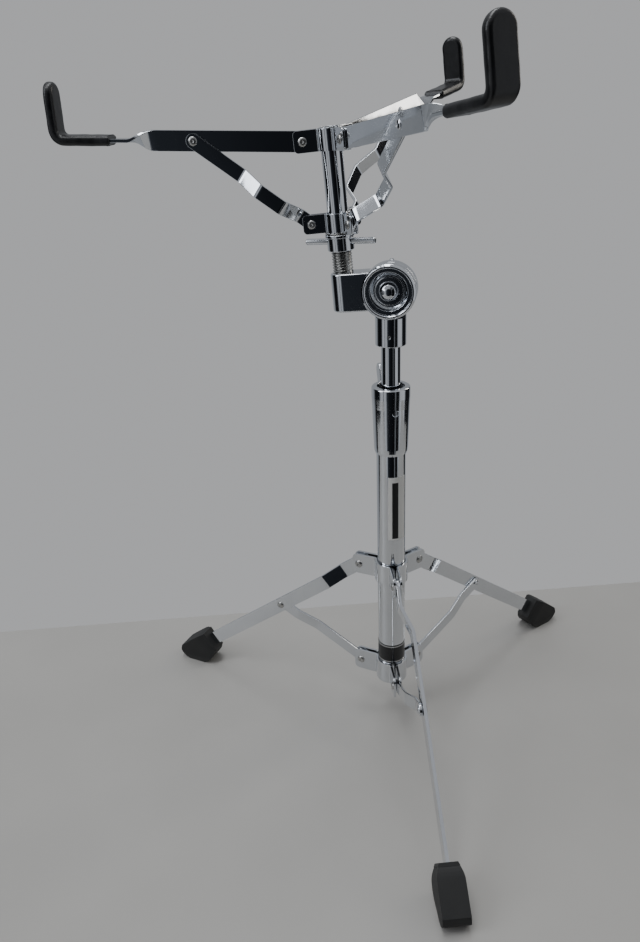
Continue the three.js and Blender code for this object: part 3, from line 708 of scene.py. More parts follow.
leg_turns = directions("leg_{}_fold", LEGS, STAND)
slide_bolt_z = JOINTS["leg_slider_bolt_turn"]["pos_m"][2] / MM
slide_boss = along_y(pipe(SLIDE_BOSS_R, SLIDE_BOSS_BORE, BASE_R + 1.6, SLIDE_BOSS_OUT, 0.7, 48))
pressed_collar("upper_leg_collar", STAND, leg_turns, LEG_GAP, bore=BASE_R + 0.35, **LEG_SHEET,
               boss=shifted(slide_boss, (0, 0, slide_bolt_z)))
pressed_collar("lower_leg_collar", STAND, leg_turns, LEG_BRACE_GAP, bore=BASE_R + 0.05, **LEG_SHEET)

# %% The two basket collars
arm_turns = directions("arm_{}_fold", ARMS, BASKET)
pressed_collar("basket_upper_collar", BASKET, arm_turns, ARM_GAP, bore=8.05, **ARM_SHEET)
pressed_collar("basket_lower_collar", BASKET, arm_turns, ARM_BRACE_GAP, bore=8.3, **ARM_SHEET)
print("collars:", ", ".join(piece.name for piece in made[-4:]))

# %% [markdown]
# ## Rivets
# Every pivot is a solid rivet. Its head is a low dome with a dimple where the tool pressed it. One turned
# section draws it: out from the dimple, over the dome and down to the face. A rivet through two ears has
# two such heads. Where it joins two strips, the far head is made as part of the strip behind.

# %% Rivets
LEG_RIVET = {"shank": 2.1, "head": 3.7, "tall": 1.3}
ARM_RIVET = {"shank": 1.9, "head": 3.3, "tall": 1.1}
PROUD = 0.05


def rivet_section(low, high, shank, head, tall, both=True):
    """Section of a rivet between two outer faces, low and high, with a dimpled head."""
    def dome(face, sign):
        steps = [(0, 0.62), (0.22, 0.62), (0.34, 0.98), (0.5, 1), (0.82, 0.68), (0.97, 0.25), (1, 0)]
        return [(head * out, face + sign * tall * up, 0) for out, up in steps]
    start = dome(low, -1) if both else [(0, low, 0)]
    return start + [(shank, low, 0), (shank, high, 0)] + dome(high, 1)[::-1]


def rivet(node, place, low, high, size, both=True):
    """A loose rivet about Y, its heads outside the faces low and high."""
    shape = along_y(turned(rivet_section(low, high, **size, both=both), steps=32))
    return hand_over(shape, node, place, ZINC, sharp=50)


def ear_rivet(node, place, gap, sheet, size):
    """Rivet through a pair of ears."""
    reach = gap + sheet["sheet"] + PROUD
    return rivet(node, place, -reach, reach, size)


def formed_head(x, y, head, tall):
    """The head of a rivet that was formed on the -Y face of a strip, so that it is one piece with it."""
    section = rivet_section(-0.6, 0, head * 0.5, head, tall, both=False)
    facing_back = Matrix.Translation((x, y, 0)) @ Matrix.Rotation(math.pi, 4, "Z")
    return placed(along_y(turned(section, steps=32)), facing_back)


# %% [markdown]
# ## Legs, feet and their braces
# A leg is a steel strip on edge. Past its ears it is set sideways, so that the brace can lie flat against
# it when the stand is folded. The brace is a thinner strip with the opposite set at its outer end.
#
# The foot is a rubber boot. Its side view is a closed curve through a few points, made as wide as the boot
# is, with large soft edges, a collar round its mouth and a flat sole. Then it is cut across near its mouth
# and drawn in sideways there, to a neck that is about two thirds as wide.

# %% Leg and brace sizes
STRIP_EASE, SLIDING_GAP = 0.45, 0.3
LEG_W, LEG_T, LEG_SET = 14, 3, 8
LEG_BENDS = (21, 43)
LEG_MOUTH, LEG_END = 227, 249
BRACE_W, BRACE_T = 11, 2.5
BRACE_BENDS = (42, 20)
BRACE_SET = LEG_SET - LEG_T / 2 - SLIDING_GAP - BRACE_T / 2


def steps_at(points, softness=1.6):
    """Offset of a strip at x: points are (x, sideways), each corner bent softly."""
    def offset(x):
        total = points[0][1]
        for (x0, y0), (x1, y1) in zip(points, points[1:]):
            if y1 != y0:
                total += (y1 - y0) * ramp(x, x0, x1, softness)
        return total
    return offset


def bent_strip(start, end, width, thick, corners, points, ease=STRIP_EASE):
    """A strip on edge whose middle line passes the points (x, sideways)."""
    spans = [(a[0], b[0]) for a, b in zip(points, points[1:]) if a[1] != b[1]]
    strip = blank(start, end, width, thick, corners, ease, bend_stations(*spans))
    return bend(strip, sideways(steps_at(points)))


# %% Rubber foot
def smooth_outline(points, closed=True, per_span=5):
    """Catmull-Rom curve through plan points; a point given twice stays a corner."""
    count, out = len(points), []
    for i in range(count):
        a, b, c, d = (Vector(points[(i + k) % count]) for k in (-1, 0, 1, 2))
        if (b - c).length < 1e-6:
            continue
        for k in range(per_span):
            t = k / per_span
            out.append(0.5 * (2 * b + (c - a) * t + (2 * a - 5 * b + 4 * c - d) * t * t
                              + (3 * b - a - 3 * c + d) * t ** 3))
    return out


def slab_across(outline, y0, y1, ease):
    """A plate from an outline of (x, z), from y0 to y1, its rims rounded."""
    shape = bmesh.new()
    shape.faces.new([shape.verts.new((p.x, y0, p.y)) for p in outline])
    draw_out(shape, 1, y1 - y0, ease, 3, clamp=True)
    return shape


FOOT_T, FOOT_H, FOOT_L = 21.5, 25, 38
BOOT_MOUTH = LEG_MOUTH - 6
HEEL_LONG, TOE_LONG = 14, 11
LIP_FROM, LIP_TO, LIP_OUT = -0.4, 2.4, 0.7
NECK_LONG, NECK_SHARE = 12, 0.66


def rubber_foot(name, pivot, drop):
    """Boot standing on the floor, drawn in the pivot's upright frame."""
    floor = -pivot.translation.z / MM
    along = Vector((math.cos(drop), 0, -math.sin(drop)))

    def on_foot(s, p):
        return Vector((s * math.cos(drop) + p * math.sin(drop), -s * math.sin(drop) + p * math.cos(drop)))
    top, low = on_foot(BOOT_MOUTH, FOOT_H / 2 - 2), on_foot(BOOT_MOUTH, -FOOT_H / 2 + 2)
    toe = on_foot(BOOT_MOUTH + FOOT_L, FOOT_H / 2)
    heel_up, toe_up = low.y - floor, toe.y - floor
    sole_in, sole_out = low.x + HEEL_LONG, toe.x - TOE_LONG
    heel = [Vector((low.x + 3.6, floor + heel_up * 0.52)), Vector((low.x + 8.4, floor + heel_up * 0.17))]
    sole = [Vector((sole_in, floor))] * 2 + [Vector((sole_out, floor))] * 2
    tip = [Vector((sole_out + 6, floor + toe_up * 0.2)), Vector((toe.x - 0.6, floor + toe_up * 0.6))]
    tip += [toe - on_foot(1.6, 0.6), toe - on_foot(4.5, 0)]
    outline = [on_foot(BOOT_MOUTH + 9, FOOT_H / 2), top, top, low, low] + heel + sole + tip
    body = slab_across(smooth_outline(outline), LEG_SET - FOOT_T / 2, LEG_SET + FOOT_T / 2, 2.4)
    corners = ((LIP_FROM, -1), (LIP_FROM, 1), (LIP_TO, 1), (LIP_TO, -1))
    lip_plan = [on_foot(BOOT_MOUTH + s, side * (FOOT_H / 2 - 1)) for s, side in corners]
    lip = slab_across(lip_plan, LEG_SET - FOOT_T / 2 - LIP_OUT, LEG_SET + FOOT_T / 2 + LIP_OUT, 0.9)
    boot = merged(body, lip)
    for step in range(3, NECK_LONG + 1):
        cut_across(boot, along * (BOOT_MOUTH + step), along, near=0)
    for vertex in boot.verts:
        share = min(max((vertex.co.dot(along) - BOOT_MOUTH) / NECK_LONG, 0), 1)
        narrow = NECK_SHARE + (1 - NECK_SHARE) * math.sin(share * math.pi / 2)
        vertex.co.y = LEG_SET + (vertex.co.y - LEG_SET) * narrow
    return hand_over(boot, "foot_" + name, pivot, RUBBER, sharp=60)


# %% Three legs
for name in LEGS:
    pivot = at_joint(f"leg_{name}_fold", UP)
    fall, joint_at = slope("leg_joint_rivet_" + name, pivot)
    sloped = raised(pivot, fall)
    strip = bent_strip(-LEG_W / 2, LEG_END, LEG_W, LEG_T, (LEG_W / 2, 0.5),
                       [(LEG_BENDS[0], 0), (LEG_BENDS[1], LEG_SET)])
    hand_over(strip, "leg_" + name, sloped, CHROME_STRIP)
    rubber_foot(name, pivot, -fall)

    foot_of_brace = at_joint(f"leg_brace_{name}_fold", UP, -1)
    rise, long = slope("leg_joint_rivet_" + name, foot_of_brace)
    strip = bent_strip(-BRACE_W / 2, long + BRACE_W / 2, BRACE_W, BRACE_T, (BRACE_W / 2, BRACE_W / 2),
                       [(long - BRACE_BENDS[0], 0), (long - BRACE_BENDS[1], BRACE_SET)])
    formed = formed_head(long, BRACE_SET - BRACE_T / 2, 3.6, 1.2)
    hand_over(merged(strip, formed), "leg_brace_" + name, raised(foot_of_brace, rise), CHROME_STRIP)

    ear_rivet("leg_rivet_" + name, pivot, LEG_GAP, LEG_SHEET, LEG_RIVET)
    ear_rivet("brace_rivet_" + name, foot_of_brace, LEG_BRACE_GAP, LEG_SHEET, LEG_RIVET)
    pin = sloped @ Matrix.Translation((joint_at * MM, 0, 0))
    near, far = LEG_SET - LEG_T / 2, LEG_SET + LEG_T / 2
    rivet("leg_joint_rivet_" + name, pin, near, far + PROUD, LEG_RIVET, both=False)
print("legs slope", round(math.degrees(-fall), 2), "degrees, braces", round(math.degrees(rise), 2))

# %% [markdown]
# ## Arms, sleeves and basket braces
# An arm starts on edge at the collar, is twisted flat so that the drum can lie on it, and turns up into a
# finger. A path gives the middle of the strip and how its section stands at every length along it. The
# sleeve is a thicker, softer blank laid along the same path.

# %% Path of an arm
ARM_W, ARM_T = 14.5, 2.5
TWIST_AT, TWIST_LONG = 107, 24
ARM_CORNER, CORNER_R = 184.5, 7
FINGER_UP = 39
SLEEVE_AT, SLEEVE_W, SLEEVE_T, SLEEVE_EASE = 142, 18.5, 7.2, 2.9
MOUTH_RIM, MOUTH_DEEP = 0.9, 1.2
UNEVEN, UNEVEN_LONG = 0.22, 7
BEND_AT = ARM_CORNER - CORNER_R
BEND_LONG = CORNER_R * math.pi / 2


def along_arm(x):
    """Path of the arm: on edge, then a smooth twist, then flat and round the corner into the finger."""
    share = min(max((x - TWIST_AT) / TWIST_LONG, 0), 1)
    lean = math.radians(90) * (1 - share * share * (3 - 2 * share))
    turn = min(max((x - BEND_AT) / CORNER_R, 0), math.pi / 2)
    past = max(x - BEND_AT - BEND_LONG, 0)
    middle = Vector((min(x, BEND_AT) + CORNER_R * math.sin(turn), 0, CORNER_R * (1 - math.cos(turn)) + past))
    normal = Vector((-math.sin(turn), 0, math.cos(turn)))
    across = Vector((0, 1, 0)) * math.cos(lean) + normal * math.sin(lean)
    through = Vector((0, -1, 0)) * math.sin(lean) + normal * math.cos(lean)
    return middle, across, through


def every(start, end, step):
    """Places between start and end, about step apart, without the two ends."""
    count = max(int((end - start) / step), 1)
    return [start + (end - start) * k / count for k in range(1, count)]


ARM_STATIONS = every(TWIST_AT, TWIST_AT + TWIST_LONG, 1.2) + every(BEND_AT, BEND_AT + BEND_LONG, 0.7)
FINGER_END = BEND_AT + BEND_LONG + FINGER_UP - CORNER_R

# %% Sleeve
def sleeve(name, place):
    """Vinyl sleeve: a thick blank with round edges, an open mouth and a slightly uneven skin."""
    stations = every(SLEEVE_AT, BEND_AT, 1.5) + every(BEND_AT, BEND_AT + BEND_LONG, 0.6)
    stations += every(BEND_AT + BEND_LONG, FINGER_END, 1.5)
    corners = (1.5, SLEEVE_W / 2)
    shape = blank(SLEEVE_AT, FINGER_END, SLEEVE_W, SLEEVE_T, corners, SLEEVE_EASE, stations, segments=5)
    mouth = [f for f in shape.faces if abs(f.calc_center_median().x - SLEEVE_AT) < 0.05]
    bmesh.ops.inset_region(shape, faces=mouth, thickness=MOUTH_RIM, depth=-MOUTH_DEEP, use_even_offset=True)
    bend(shape, along_arm)
    shape.normal_update()
    seed = Vector((len(name) * 7.3, ord(name[0]), 0))
    for vertex in shape.verts:
        vertex.co += vertex.normal * UNEVEN * noise.noise(vertex.co / UNEVEN_LONG + seed)
    return hand_over(shape, "sleeve_" + name, place, VINYL, sharp=60)


# %% Three arms
ARM_BRACE_W, ARM_BRACE_T, ARM_BOW = 10.5, 2.2, 15
ARM_BRACE_SET = ARM_T / 2 + SLIDING_GAP + ARM_BRACE_T / 2
BOW = [(11, 0), (25, ARM_BOW), (46, ARM_BOW), (62, ARM_BRACE_SET)]

for name in ARMS:
    pivot = at_joint(f"arm_{name}_fold", LEAN, -1)
    rise, joint_at = slope("arm_joint_rivet_" + name, pivot)
    place = raised(pivot, rise)
    round_ends = (ARM_W / 2, ARM_W / 2)
    strip = blank(-ARM_W / 2, FINGER_END - 3, ARM_W, ARM_T, round_ends, STRIP_EASE, ARM_STATIONS)
    formed = formed_head(joint_at, -ARM_T / 2, 3.3, 1.1)
    hand_over(merged(bend(strip, along_arm), formed), "arm_" + name, place, CHROME_STRIP)
    sleeve(name, place)

    low_pivot = at_joint(f"arm_brace_{name}_fold", LEAN, -1)
    brace_rise, long = slope("arm_joint_rivet_" + name, low_pivot)
    strip = bent_strip(-ARM_BRACE_W / 2, long + ARM_BRACE_W / 2, ARM_BRACE_W, ARM_BRACE_T,
                       (ARM_BRACE_W / 2, ARM_BRACE_W / 2), BOW, ease=0.4)
    sloped = raised(low_pivot, brace_rise)
    hand_over(strip, "arm_brace_" + name, sloped, CHROME_STRIP)

    ear_rivet("arm_rivet_" + name, pivot, ARM_GAP, ARM_SHEET, ARM_RIVET)
    ear_rivet("arm_brace_rivet_" + name, low_pivot, ARM_BRACE_GAP, ARM_SHEET, ARM_RIVET)
    pin = sloped @ Matrix.Translation((long * MM, 0, 0))
    top = ARM_BRACE_SET + ARM_BRACE_T / 2
    rivet("arm_joint_rivet_" + name, pin, top - ARM_BRACE_T, top + PROUD, ARM_RIVET, both=False)
print("arms rise", round(math.degrees(rise), 2), "degrees, braces", round(math.degrees(brace_rise), 2))

# %% [markdown]
# ## Height clamp, bush and upper tube
# The clamp is a zinc casting with a boss for its bolt and a small blind hole opposite, machined and then
# chromed. The body is turned; the boss is joined to it and the hole cut into it by Booleans.

# %% Height clamp
CLAMP_R, BOLT_R = 16.3, 3
BOSS_R, BOSS_OUT = 6.4, 22
BLIND_R, BLIND_DEEP = 2.9, 2.3
bolt_joint = JOINTS["clamp_bolt_turn"]
bolt_at = Vector((STAND.translation.x, STAND.translation.y, bolt_joint["pos_m"][2]))
CLAMP_BOLT = axes_at(bolt_at, Vector(bolt_joint["axis"]), UP)
low, high = span("height_clamp", STAND)
c0, c1, tube_top = low.z, high.z, span("base_tube", STAND)[1].z
on_tube, through, seat = BASE_R + 0.05, BASE_R - 1.1, tube_top + 0.4
collar = [(on_tube, c0, 0.1), (BASE_R + 0.9, c0, 0.3), (BASE_R + 1.7, c0 + 2.4, 2), (BASE_R + 2, c0 + 6, 3)]
barrel = [(CLAMP_R - 0.5, c1 - 18, 6), (CLAMP_R, c1 - 9, 4), (CLAMP_R, c1, 2.2)]
inside = [(through, c1, 0.6), (through, seat, 0), (on_tube, seat, 0)]
body = turned(collar + barrel + inside, closed=True)
to_bolt = STAND.inverted() @ CLAMP_BOLT
to_bolt = Matrix.Translation(to_bolt.translation / MM) @ to_bolt.to_3x3().to_4x4()


def across_clamp(radius, low, high, edge):
    """A bar along the clamp's bolt, its outer rim rounded, in the stand's frame."""
    return placed(along_y(solid_bar(radius, low, high, 0, edge, steps=48)), to_bolt)


body = boolean(body, across_clamp(BOSS_R, BASE_R + 1.5, BOSS_OUT, 0.8), "UNION")
hole = shifted(across_clamp(BLIND_R, -CLAMP_R - 4, BLIND_DEEP - CLAMP_R, 0.6), (0, 0, 1))
hand_over(boolean(body, hole, "DIFFERENCE"), "height_clamp", STAND, CHROME_CAST, sharp=35)

low, high = span("nylon_bush", STAND)
hand_over(pipe(BASE_R - 1.25, 8.3, low.z, high.z, 0.4), "nylon_bush", STAND, NYLON)
low, high = span("upper_tube", STAND)
UP_R = high.x
hand_over(pipe(UP_R, UP_R - WALL, low.z, high.z), "upper_tube", STAND, CHROME_TUBE)
print("upper tube radius", round(UP_R, 2), "mm, clamp", round(c1 - c0, 1), "mm tall")

# %% [markdown]
# ## Wing bolts and the wing nut
# A wing bolt is cast onto its screw: a hub with two flat lobes. A lobe is the skin drawn tight over two
# short cylinders, one in the hub and one at the tip, which is what a convex hull does.

# %% Wings
def short_bar(radius, thick, y, z):
    """Short cylinder across X, its rims rounded."""
    return shifted(placed(solid_bar(radius, -thick / 2, thick / 2, 0.9, 0.9, steps=40), TO_X), (0, y, z))


def lobe(hub, y0, reach, z, tip, thick):
    return tight_skin(merged(short_bar(hub * 0.75, thick, y0, 0), short_bar(tip, thick, y0 + reach, z)))


def wing_part(node, place, hub, y0, y1, span_z, tip, thick, reach, screw_from=None, bore=None):
    """Hub about Y, from y0 to y1, with two lobes of radius tip. A bolt has screw_from, a nut has a bore."""
    if bore:
        section = [(bore, y0, 0.2), (hub, y0, 0.7), (hub, y1, 1.0), (bore, y1, 0.2)]
        shape = along_y(turned(section, closed=True, steps=48))
    else:
        shape = along_y(solid_bar(hub, y0, y1, 0.7, 1.4, steps=48))
    for side in (1, -1):
        shape = boolean(shape, lobe(hub, y0 + hub * 0.9, reach, side * (span_z - tip), tip, thick), "UNION")
    if bore:
        shape = boolean(shape, along_y(solid_bar(bore, y0 - 9, y1 + 30, steps=48)), "DIFFERENCE")
    else:
        shape = merged(shape, along_y(solid_bar(BOLT_R, screw_from, y0 + 1, 0.5, 0, steps=32)))
    return hand_over(shape, node, place, CHROME_CAST, sharp=38)


SLIDE_BOLT = Matrix.Translation(STAND.translation + Vector((0, 0, slide_bolt_z * MM)))
wing_part("leg_collar_wing_bolt", SLIDE_BOLT, hub=5.4, y0=21.3, y1=30, span_z=18, tip=5, thick=3, reach=6,
          screw_from=BASE_R + 0.5)
wing_part("clamp_wing_bolt", CLAMP_BOLT, hub=5.8, y0=22.3, y1=33, span_z=30, tip=6.5, thick=3.4, reach=9,
          screw_from=BASE_R - 0.9)
wing_part("tilter_wing_nut", HEAD, hub=6, y0=5.3, y1=15.5, span_z=20.5, tip=5.5, thick=3.4, reach=7,
          bore=BOLT_R + 0.3)
print("wings:", ", ".join(piece.name for piece in made[-3:]))

# %% [markdown]
# ## The tilter
# The tilter is two castings that meet on toothed faces. The rear one is a socket for the tube with half of
# the disc on top. The front one is the dished half of the disc with a block beside it that holds the
# basket's rod. The dish is a turned section: a polished rim, a wall, a step, a cone and a shallow floor for
# the domed cap. The block is a skin drawn tight over a post about the rod and a root in the disc; the rod
# leans a little in it.

# %% Rear half: socket and back disc
DISC_R, SEAM = 21.5, 0.15
FRONT, BACK, SEAM_Y = -17, 5, -6
SOCKET_R, SOCKET_TOP, TUBE_STOP = 12.65, -7, -27
NECK_TOP = -DISC_R - 0.4
PIN_R, PIN_HOLE_R = 1.55, 1.6


def cut_box(low, high):
    box = bmesh.new()
    bmesh.ops.create_cube(box, size=1)
    low, high = Vector(low), Vector(high)
    bmesh.ops.scale(box, verts=box.verts, vec=high - low)
    return shifted(box, (low + high) / 2)


low, high = span("tilter_socket", MAST)
neck = solid_bar(SOCKET_R, low.z, SOCKET_TOP, 1.0, 1.0)
neck = boolean(neck, cut_box((-30, -30, NECK_TOP), (30, SEAM_Y + SEAM, 30)), "DIFFERENCE")
neck = boolean(neck, cut_box((-30, BACK, NECK_TOP), (30, 30, 30)), "DIFFERENCE")
neck = soften(neck, 0.5, 60, segments=2)
neck = boolean(neck, along_y(solid_bar(DISC_R, SEAM_Y + SEAM, BACK, 1.0, 1.0)), "UNION")
neck = boolean(neck, solid_bar(UP_R + 0.05, low.z - 5, TUBE_STOP), "DIFFERENCE")
pin_low, pin_high = span("socket_pin", MAST)
pin_at = (0, 0, (pin_low.z + pin_high.z) / 2)
pin_hole = along_y(turned([(0, -SOCKET_R - 2, 0), (1.9, -SOCKET_R - 2, 0), (PIN_HOLE_R, -SOCKET_R + 0.6, 0),
                           (PIN_HOLE_R, -10, 0), (0, -10, 0)], steps=32))
neck = boolean(neck, shifted(pin_hole, pin_at), "DIFFERENCE")
hand_over(neck, "tilter_socket", MAST, CHROME_CAST, sharp=35)

pin = along_y(turned([(0, -SOCKET_R + 0.35, 0), (1.0, -SOCKET_R + 0.4, 0), (PIN_R, -SOCKET_R + 0.8, 0),
                      (PIN_R, -UP_R - 1.25, 0), (0, -UP_R - 1.25, 0)], steps=32))
hand_over(shifted(pin, pin_at), "socket_pin", MAST, ZINC)

# %% Front half: dish, arm and block
FLOOR_Y = -9.8
BLOCK_R, BLOCK_LOW, BLOCK_HIGH = 10.5, -14, 16
floor_and_cone = [(3.3, -12, 0), (11.6, FLOOR_Y, 0.4), (15.2, -14, 0.5)]
step_and_wall = [(15.4, -13.2, 0), (18.2, -13.2, 0.2), (18.2, FRONT + 0.6, 0.4)]
rim = [(18.9, FRONT, 0.5), (DISC_R - 1.6, FRONT, 1.0), (DISC_R, FRONT + 1.7, 1.0)]
back = [(DISC_R, SEAM_Y - SEAM, 0.5), (3.3, SEAM_Y - SEAM, 0)]
dish = along_y(turned(floor_and_cone + step_and_wall + rim + back, closed=True))
to_basket = HEAD.inverted() @ BASKET
to_basket.translation /= MM
rod_way = to_basket.col[2].xyz
climb = (BLOCK_LOW + BLOCK_HIGH) / 2 - to_basket.translation.z
basket_at = to_basket.translation + rod_way * (climb / rod_way.z)
post = shifted(solid_bar(BLOCK_R, BLOCK_LOW, BLOCK_HIGH), (basket_at.x, basket_at.y, 0))
root = cut_box((-3, basket_at.y - BLOCK_R, BLOCK_LOW), (-2, basket_at.y + BLOCK_R, BLOCK_HIGH))
block = tight_skin(merged(post, root))
bmesh.ops.dissolve_limit(block, angle_limit=math.radians(1), verts=block.verts, edges=block.edges)
block = soften(block, 1.6, 60, segments=4)
block = boolean(block, along_y(solid_bar(DISC_R - 1.2, -40, 40)), "DIFFERENCE")
block = boolean(block, along_y(solid_bar(DISC_R + 0.4, SEAM_Y - SEAM, 40)), "DIFFERENCE")
rod_low, rod_high = (corner.z for corner in span("threaded_rod", BASKET))
well = placed(solid_bar(UP_R + 0.05, rod_low - 0.2, rod_low + 40), to_basket)
block = boolean(block, well, "DIFFERENCE")
hand_over(boolean(dish, block, "UNION"), "tilter_head", HEAD, CHROME_CAST, sharp=35)

# %% Domed cap of the tilt bolt
cap_at = FLOOR_Y - 1.85
dome = [(0, cap_at - 5.4, 0), (2.6, cap_at - 5.1, 3), (5.4, cap_at - 3.7, 3), (7.3, cap_at - 1.2, 2)]
skirt = [(7.7, cap_at + 0.9, 0.4), (8.6, cap_at + 0.9, 0.3)]
washer = [(10.8, cap_at + 1.0, 0.3), (10.8, cap_at + 1.8, 0.3)]
shank = [(BOLT_R, cap_at + 1.8, 0), (BOLT_R, BACK + 12.0, 0.5), (0, BACK + 12.5, 0)]
cap = along_y(turned(dome + skirt + washer + shank))
hand_over(cap, "tilter_bolt", HEAD, CHROME_CAST, sharp=30)
print("tilter:", ", ".join(piece.name for piece in made[-4:]))

# %% [markdown]
# ## Rod, nut and basket tube
# The basket screws down on a threaded rod. A thread is a ridge spun round the rod while it climbs: spin
# takes a step along the axis, dvec, with every step of its turn, which is the pitch shared out over one
# turn. Below the thread the rod is plain, and above it, inside the basket tube, it is turned down.

# %% Threaded rod
PITCH, TURN_STEPS, FLANK = 2.2, 36, 0.12
ROOT_R, TOP_R, PLAIN_LONG = UP_R - 0.95, UP_R - 1.35, 26.8


def ridge(root, crest, low, high):
    """One turn's section of the thread, spun upward from low to high."""
    shape = bmesh.new()
    section = [(root - 0.6, FLANK), (root, FLANK), (crest, PITCH * 0.44), (crest, PITCH * 0.56),
               (root, PITCH - FLANK), (root - 0.6, PITCH - FLANK)]
    face = shape.faces.new([shape.verts.new((r, 0, low + z)) for r, z in section])
    steps = int((high - low - PITCH) / PITCH * TURN_STEPS)
    bmesh.ops.spin(shape, geom=[face] + face.edges[:] + face.verts[:], cent=(0, 0, 0), axis=(0, 0, 1),
                   dvec=(0, 0, PITCH / TURN_STEPS), angle=math.tau * steps / TURN_STEPS, steps=steps,
                   use_merge=False)
    return shape


cover_low, cover_high = (corner.z for corner in span("basket_tube", BASKET))
plain_top, thread_top = rod_low + PLAIN_LONG, cover_low - 0.1
core = turned([(0, rod_low, 0), (UP_R, rod_low, 0.4), (UP_R, plain_top, 0.3), (ROOT_R, plain_top + 1, 0),
               (ROOT_R, thread_top, 0), (TOP_R, thread_top, 0), (TOP_R, rod_high, 0.4), (0, rod_high, 0)])
thread = ridge(UP_R - 1, UP_R, plain_top + 0.8, thread_top - 0.1)
hand_over(merged(core, thread), "threaded_rod", BASKET, ZINC, sharp=25)

# %% Basket tube, nut, pins and washer
hand_over(pipe(UP_R, UP_R - WALL, cover_low, cover_high), "basket_tube", BASKET, CHROME_TUBE)

NUT_R, NUT_BORE = 10.4, 8.35
PIN_FROM, NUT_PIN_R = 9, 2.4
low, high = (corner.z for corner in span("t_nut", BASKET))
nut = turned([(NUT_BORE, low, 0.3), (NUT_R, low, 0.9), (NUT_R, high - 2.4, 0.3), (NUT_R + 1, high - 2.0, 0.3),
              (NUT_R + 1, high, 0.5), (NUT_BORE, high, 0.3)], closed=True)
hand_over(nut, "t_nut", BASKET, CHROME_CAST)
for side in ("left", "right"):
    node = "t_nut_pin_" + side
    points = local_points(node, BASKET)
    out = sum((p.xy for p in points), Vector((0, 0))).normalized()
    reach = max(p.xy.dot(out) for p in points)
    middle = (max(p.z for p in points) + min(p.z for p in points)) / 2
    pin = placed(solid_bar(NUT_PIN_R, PIN_FROM, reach, 0, 1.1, steps=40), TO_X)
    pin = placed(pin, Matrix.Rotation(math.atan2(out.y, out.x), 4, "Z"))
    hand_over(shifted(pin, (0, 0, middle)), node, BASKET, CHROME_TUBE)
low, high = (corner.z for corner in span("nut_washer", BASKET))
hand_over(pipe(NUT_R + 0.6, NUT_BORE, low, high, 0.2), "nut_washer", BASKET, ZINC)
print(len(made), "pieces made for", len(frame["nodes"]), "nodes")

# %% [markdown]
# ## Floor, camera and light
# Chrome shows nothing but its surroundings, so the light is the other half of the finish. Three soft
# lights stand round the stand. The walls are light and dark by turns, painted on the world with a colour
# ramp, so that each tube carries dark edges and bright streaks. The floor is a plate under the stand, and
# beyond it the camera sees a plain pale grey.

# %% Floor
FLOOR_LOW, FLOOR_HIGH = Vector((-0.72, -0.42, 0)), Vector((0.72, 0.18, 0))
FLOOR = bpy.data.meshes.new("floor")
ground = bmesh.new()
bmesh.ops.create_grid(ground, x_segments=1, y_segments=1, size=0.5)
bmesh.ops.scale(ground, verts=ground.verts, vec=FLOOR_HIGH - FLOOR_LOW + UP)
shifted(ground, STAND.translation + (FLOOR_LOW + FLOOR_HIGH) / 2)
ground.to_mesh(FLOOR)
ground.free()
floor = bpy.data.objects.new("floor", FLOOR)
bpy.context.scene.collection.objects.link(floor)
material, tree, shader, place = new_material("painted_floor")
cloud = patches(tree, place, 1000 / 6, 5.0)
plug(tree, shader, {"Base Color": blend(tree, cloud, "#b0aeaa", "#a09e9a"), "Roughness": 0.45})
FLOOR.materials.append(material)

# %% Camera
YAW, DOWN, ROLL = math.radians(3.31), math.radians(24.44), math.radians(2.57)
EYE = STAND.translation + Vector((-0.0970, -0.5997, 0.5382))
forward = Vector((math.sin(YAW) * math.cos(DOWN), math.cos(YAW) * math.cos(DOWN), -math.sin(DOWN)))
level = Vector((math.cos(YAW), -math.sin(YAW), 0))
upright = level.cross(forward)
right = level * math.cos(ROLL) - upright * math.sin(ROLL)
up = level * math.sin(ROLL) + upright * math.cos(ROLL)
camera_data = bpy.data.cameras.new("camera")
camera_data.lens, camera_data.sensor_width = 29.0, 36
camera = bpy.data.objects.new("camera", camera_data)
facing = Matrix([[right[i], up[i], -forward[i]] for i in range(3)]).to_4x4()
camera.matrix_world = Matrix.Translation(EYE) @ facing
bpy.context.scene.collection.objects.link(camera)
bpy.context.scene.camera = camera

# %% Soft lights
def soft_light(name, place, target, size, watts, colour):
    lamp = bpy.data.lights.new(name, "AREA")
    lamp.shape, lamp.size, lamp.size_y = "RECTANGLE", size[0], size[1]
    lamp.energy, lamp.color = watts, srgb(colour)[:3]
    light = bpy.data.objects.new(name, lamp)
    light.location = place
    light.rotation_euler = (Vector(target) - Vector(place)).to_track_quat("-Z", "Y").to_euler()
    bpy.context.scene.collection.objects.link(light)


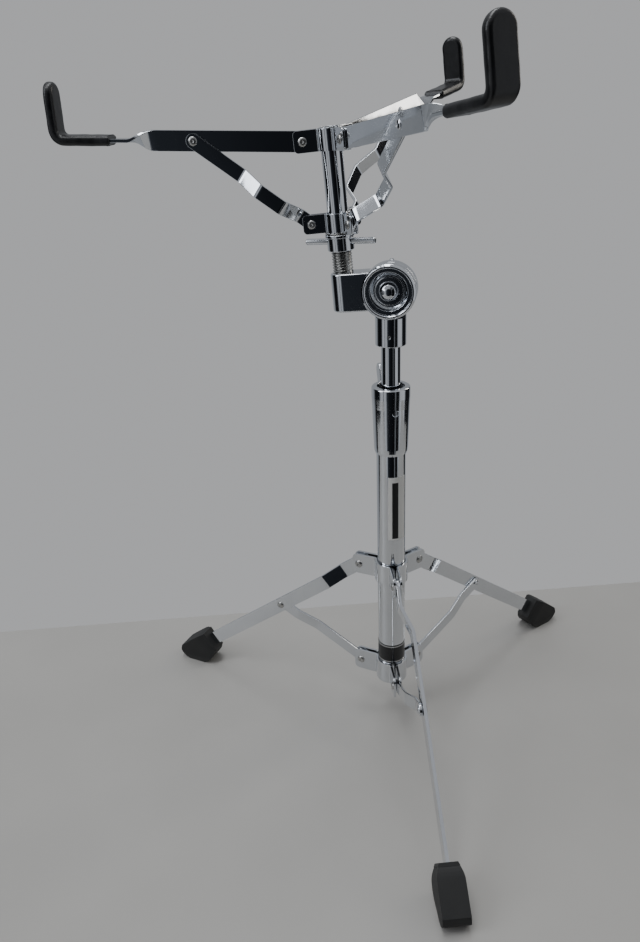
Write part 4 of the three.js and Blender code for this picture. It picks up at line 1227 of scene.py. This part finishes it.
soft_light("ceiling", (-0.3, 0.2, 2.4), (0, 0, 0.2), (2.2, 0.7), 26, "#fbfdff")
soft_light("window_left", (-1.9, -0.4, 1.5), (0, 0, 0.4), (0.8, 1.6), 16, "#f4f8ff")
soft_light("far_right", (1.9, 0.9, 1.3), (0, 0, 0.4), (0.5, 1.4), 9, "#fffaf2")

# %% Room
world = bpy.data.worlds.new("room")
bpy.context.scene.world = world
world.use_nodes = True
tree = world.node_tree
tree.nodes.clear()
look = add(tree, "ShaderNodeTexCoord").outputs["Generated"]
around = add(tree, "ShaderNodeTexGradient", {"Vector": look}, gradient_type="RADIAL").outputs["Fac"]
# Walls, going round from the left: 0.25 is behind the viewer, 0.5 is right and 0.75 is the far side.
WALLS = [(0.00, "#16171a"), (0.03, "#1a1b1d"), (0.05, "#c2c5ca"), (0.09, "#d6d9de"), (0.10, "#3b3c3e"),
         (0.115, "#d0d3d8"), (0.14, "#c4c7cc"), (0.16, "#34383e"), (0.20, "#1c1e22"), (0.29, "#101113"),
         (0.30, "#8d9094"), (0.315, "#141517"), (0.36, "#161719"), (0.38, "#cfd2d6"), (0.46, "#d8dbe0"),
         (0.49, "#222326"), (0.60, "#1b1c1f"), (0.64, "#a9acb0"), (0.86, "#b4b7bb"), (0.90, "#8f9296"),
         (0.93, "#17181a"), (1.00, "#16171a")]
walls = add(tree, "ShaderNodeValToRGB", {"Fac": around})
for place_in, colour in WALLS[1:-1]:
    walls.color_ramp.elements.new(place_in).color = srgb(colour)
walls.color_ramp.elements[0].color = srgb(WALLS[0][1])
walls.color_ramp.elements[-1].color = srgb(WALLS[-1][1])
above = add(tree, "ShaderNodeMapRange", {"Value": height_of(tree, look), "From Min": 0.45, "From Max": 0.75},
            interpolation_type="SMOOTHSTEP").outputs["Result"]
room = blend(tree, above, walls.outputs["Color"], "#c9cbcf")
seen = add(tree, "ShaderNodeLightPath").outputs["Is Camera Ray"]
view = blend(tree, seen, room, "#c6c7c9")
light = add(tree, "ShaderNodeBackground", {"Color": view, "Strength": 0.75})
add(tree, "ShaderNodeOutputWorld", {"Surface": light.outputs["Background"]})
